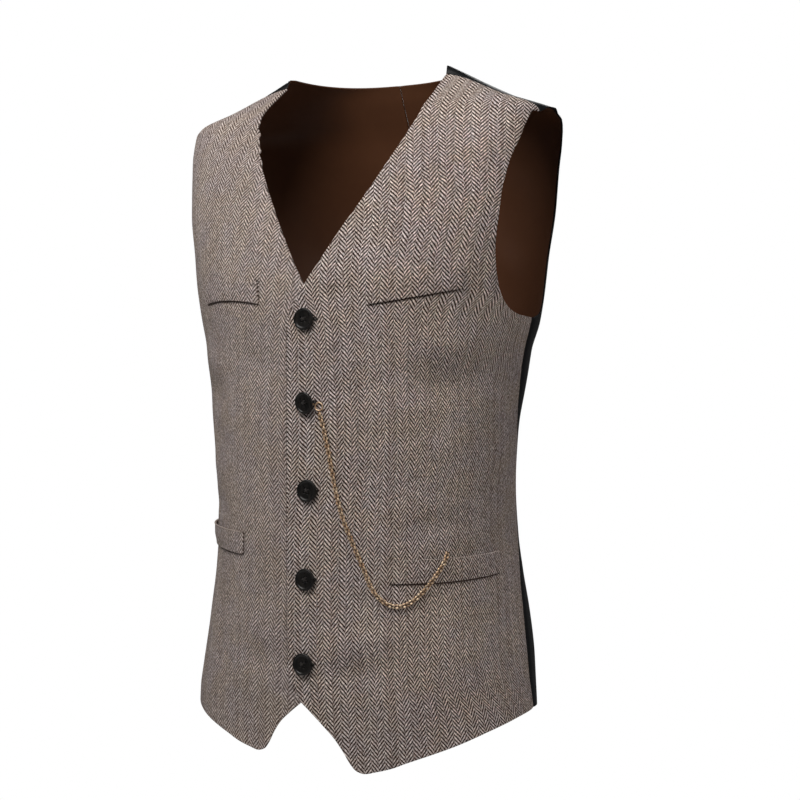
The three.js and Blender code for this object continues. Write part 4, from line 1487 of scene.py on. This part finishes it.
def curve_through(points, count):
    """Centripetal curve through points: Catmull-Rom pieces with knots at the square root of
    each distance, then spaced evenly along its length."""
    p = np.concatenate([[2 * points[0] - points[1]], points, [2 * points[-1] - points[-2]]])
    gap = np.sqrt(np.linalg.norm(np.diff(p, axis=0), axis=1))
    found = []
    for k in range(1, len(p) - 2):
        t0, t1, t2, t3 = np.cumsum(np.concatenate([[0], gap[k - 1:k + 2]]))
        t = np.linspace(t1, t2, 24, endpoint=False)[:, None]
        a1 = (t1 - t) / (t1 - t0) * p[k - 1] + (t - t0) / (t1 - t0) * p[k]
        a2 = (t2 - t) / (t2 - t1) * p[k] + (t - t1) / (t2 - t1) * p[k + 1]
        a3 = (t3 - t) / (t3 - t2) * p[k + 1] + (t - t2) / (t3 - t2) * p[k + 2]
        b1 = (t2 - t) / (t2 - t0) * a1 + (t - t0) / (t2 - t0) * a2
        b2 = (t3 - t) / (t3 - t1) * a2 + (t - t1) / (t3 - t1) * a3
        found.append((t2 - t) / (t2 - t1) * b1 + (t - t1) / (t2 - t1) * b2)
    line = np.concatenate(found + [points[-1:]])
    length = np.concatenate([[0], np.cumsum(np.linalg.norm(np.diff(line, axis=0), axis=1))])
    even = np.linspace(0, length[-1], count)
    return np.stack([np.interp(even, length, line[:, k]) for k in range(3)], 1), length[-1]


def chain_line():
    """The chain's centre line, a little off the upper front, and its length."""
    x, z, lift = CHAIN_ROUTE.T
    stand = CHAIN_DIAMETER / 2 + CHAIN_GAP - CHAIN_SINK + lift
    points, _, _ = on_front(1, angle_of_x(x, z), z, stand)
    _, length = curve_through(points, 10)
    return curve_through(points, int(round(length / LINK_PITCH)) + 1)


def link_points(sides=6, steps=14):
    """One oval link of round wire, an ellipse in its own plane, with each point's place along
    the link as its UV."""
    angle = np.arange(steps) * 2 * np.pi / steps
    path = np.stack([
        (LINK_LONG / 2 - LINK_WIRE) * np.cos(angle),
        (LINK_WIDE / 2 - LINK_WIRE) * np.sin(angle),
        0 * angle,
    ], 1)
    section = np.arange(sides) * 2 * np.pi / sides
    tangent = np.roll(path, -1, 0) - np.roll(path, 1, 0)
    tangent /= np.linalg.norm(tangent, axis=1, keepdims=True)
    side = np.cross(tangent, [0, 0, 1])
    ring = LINK_WIRE * (
        np.cos(section)[None, :, None] * side[:, None]
        + np.sin(section)[None, :, None] * np.array([0, 0, 1.0])
    )
    along = np.repeat(path[:, 0], sides)
    faces = quads(ring_numbers(steps, sides, closed=True))
    return (path[:, None] + ring).reshape(-1, 3), faces, np.stack([along, 0 * along], 1)


def chain_piece():
    """The chain: oval links along the line, each turned a quarter from the last and rocked
    a little, half lying down and half standing."""
    line, length = chain_line()
    middle = (line[1:] + line[:-1]) / 2
    along = np.diff(line, axis=0)
    along /= np.linalg.norm(along, axis=1, keepdims=True)
    out = outward(middle)
    side = np.cross(out, along)
    side /= np.linalg.norm(side, axis=1, keepdims=True)
    out = np.cross(along, side)
    points, faces, place = link_points()
    index = np.arange(len(middle))
    roll = np.where(index % 2 == 0, *LINK_ROLLS) + LINK_ROCK * np.sin(index * 1.7)
    c, s = np.cos(np.radians(roll))[:, None], np.sin(np.radians(roll))[:, None]
    across = c * side + s * out
    up = -s * side + c * out
    basis = np.stack([along, across, up], 1)
    vertices = np.einsum("pa,nab->npb", points, basis) + middle[:, None]
    all_faces = (faces[None] + (index * len(points))[:, None, None]).reshape(-1, 4)
    place = np.tile(place, (len(middle), 1))
    piece = new_object(
        "watch_chain_links", vertices.reshape(-1, 3), all_faces.tolist(), place, GILT
    )
    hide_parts("watch_chain")
    return piece, line, length


def ring_pieces():
    """The chain's end ring and the bar through the buttonhole, both of round wire."""
    z = BUTTON_HEIGHTS[1] - RING_DROP
    q, axes = frame_at(RING_X, z, RING_WIRE + CHAIN_GAP)
    angle = np.arange(RING_STEPS) * 2 * np.pi / RING_STEPS
    wave = RING_WAVE * np.sin(2 * angle)
    path = RING_RADIUS * np.stack([np.cos(angle), np.sin(angle), wave], 1)
    wires = [tube(q + path @ axes, RING_WIRE, 10, closed=True)]
    x = RING_X - RING_RADIUS - RING_WIRE - BAR_GAP - BAR_LENGTH / 2
    q, axes = frame_at(x, z + BAR_RISE, BAR_RADIUS + BAR_GAP)
    t = np.linspace(-1, 1, 25)
    path = np.stack([t * BAR_LENGTH / 2, 0 * t, 0 * t], 1)
    radius = BAR_RADIUS * np.sqrt(np.clip(1 - np.abs(t) ** 12, 0.02, 1))
    wires.append(tube(q + path @ axes, radius, 12))
    pieces = []
    for name, wire in zip(("chain_ring", "chain_bar"), wires):
        piece = new_object(name + "_wire", *wire, made=GILT)
        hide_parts(name)
        pieces.append(piece)
    return pieces


# -------------------- assembly
chain, chain_path, chain_length = chain_piece()
ring_and_bar = ring_pieces()
front_left, front_right = front_piece(1), front_piece(-1)
back_left, back_right = back_piece(1), back_piece(-1)
welts = {w[0]: welt_piece(w) for w in WELTS}
welt_tacks_and_seam_shade()
fold_stitches()
edge_stitches_and_shade()
holes = buttonholes()
button_pieces()


# -------------------- stage and light
FLOOR_RADIUS = 0.7
FLOOR_HEIGHT = -0.86
FLOOR_SIDES = 64
FLOOR_TONES = ((0.86, 0.86, 0.86, 1), (0.88, 0.88, 0.88, 1))


def stage_floor():
    """A wide pale floor disc below the part."""
    angle = np.arange(FLOOR_SIDES) * 2 * np.pi / FLOOR_SIDES
    x, y = FLOOR_RADIUS * np.cos(angle), FLOOR_RADIUS * np.sin(angle)
    mesh = bpy.data.meshes.new("floor")
    mesh.from_pydata([(*p, FLOOR_HEIGHT) for p in zip(x, y)], [], [list(range(FLOOR_SIDES))])
    floor = bpy.data.objects.new("floor", mesh)
    bpy.context.scene.collection.objects.link(floor)
    made, n, shader = material("floor", Roughness=0.9, Specular_IOR_Level=0.1)
    n.put(shader.inputs["Base Color"], n.mix(n.noise(n.place(), 3.0), *FLOOR_TONES))
    mesh.materials.append(made)


# name, place, aimed at, width, height, watts, colour
LIGHTS = (
    ("key", (-0.1, -1.0, 0.82), (0, 0, -0.1), 1.2, 0.9, 20, (1.0, 0.985, 0.97)),
    ("fill", (2.2, 0.1, 0.5), (0, 0, -0.2), 1.1, 1.1, 10.8, (1.0, 0.945, 0.925)),
    ("top", (0.2, 0.4, 1.7), (0, 0, -0.1), 1.0, 1.0, 0.6, (1.0, 1.0, 1.0)),
    ("behind", (-0.6, 2.2, 0.8), (0, 0, -0.3), 1.4, 1.4, 12, (1.0, 1.0, 1.0)),
)
SURROUND_SEEN = 1.0
SURROUND_LIGHT = 0.08


def light_up():
    """Plain soft studio light: four large panels and a pale surround."""
    for name, place, aim, wide, tall, watts, colour in LIGHTS:
        data = bpy.data.lights.new(name, "AREA")
        data.shape = "RECTANGLE"
        data.size, data.size_y = wide, tall
        data.energy = watts
        data.color = colour
        lamp = bpy.data.objects.new(name, data)
        lamp.location = place
        toward = Vector(aim) - Vector(place)
        lamp.rotation_euler = toward.to_track_quat("-Z", "Y").to_euler()
        bpy.context.scene.collection.objects.link(lamp)
    world = bpy.data.worlds.new("surround")
    bpy.context.scene.world = world
    world.use_nodes = True
    n = Nodes(world.node_tree)
    light = world.node_tree.nodes["Background"]
    light.inputs["Strength"].default_value = SURROUND_LIGHT
    seen = n.add("ShaderNodeBackground")
    seen.inputs["Strength"].default_value = SURROUND_SEEN
    for back in (light, seen):
        back.inputs["Color"].default_value = (1, 1, 1, 1)
    either = n.add("ShaderNodeMixShader")
    n.put(either.inputs[0], n.add("ShaderNodeLightPath").outputs["Is Camera Ray"])
    n.put(either.inputs[1], light.outputs[0])
    n.put(either.inputs[2], seen.outputs[0])
    n.put(world.node_tree.nodes["World Output"].inputs[0], either.outputs[0])


stage_floor()
light_up()
bpy.context.scene.view_settings.view_transform = "Standard"
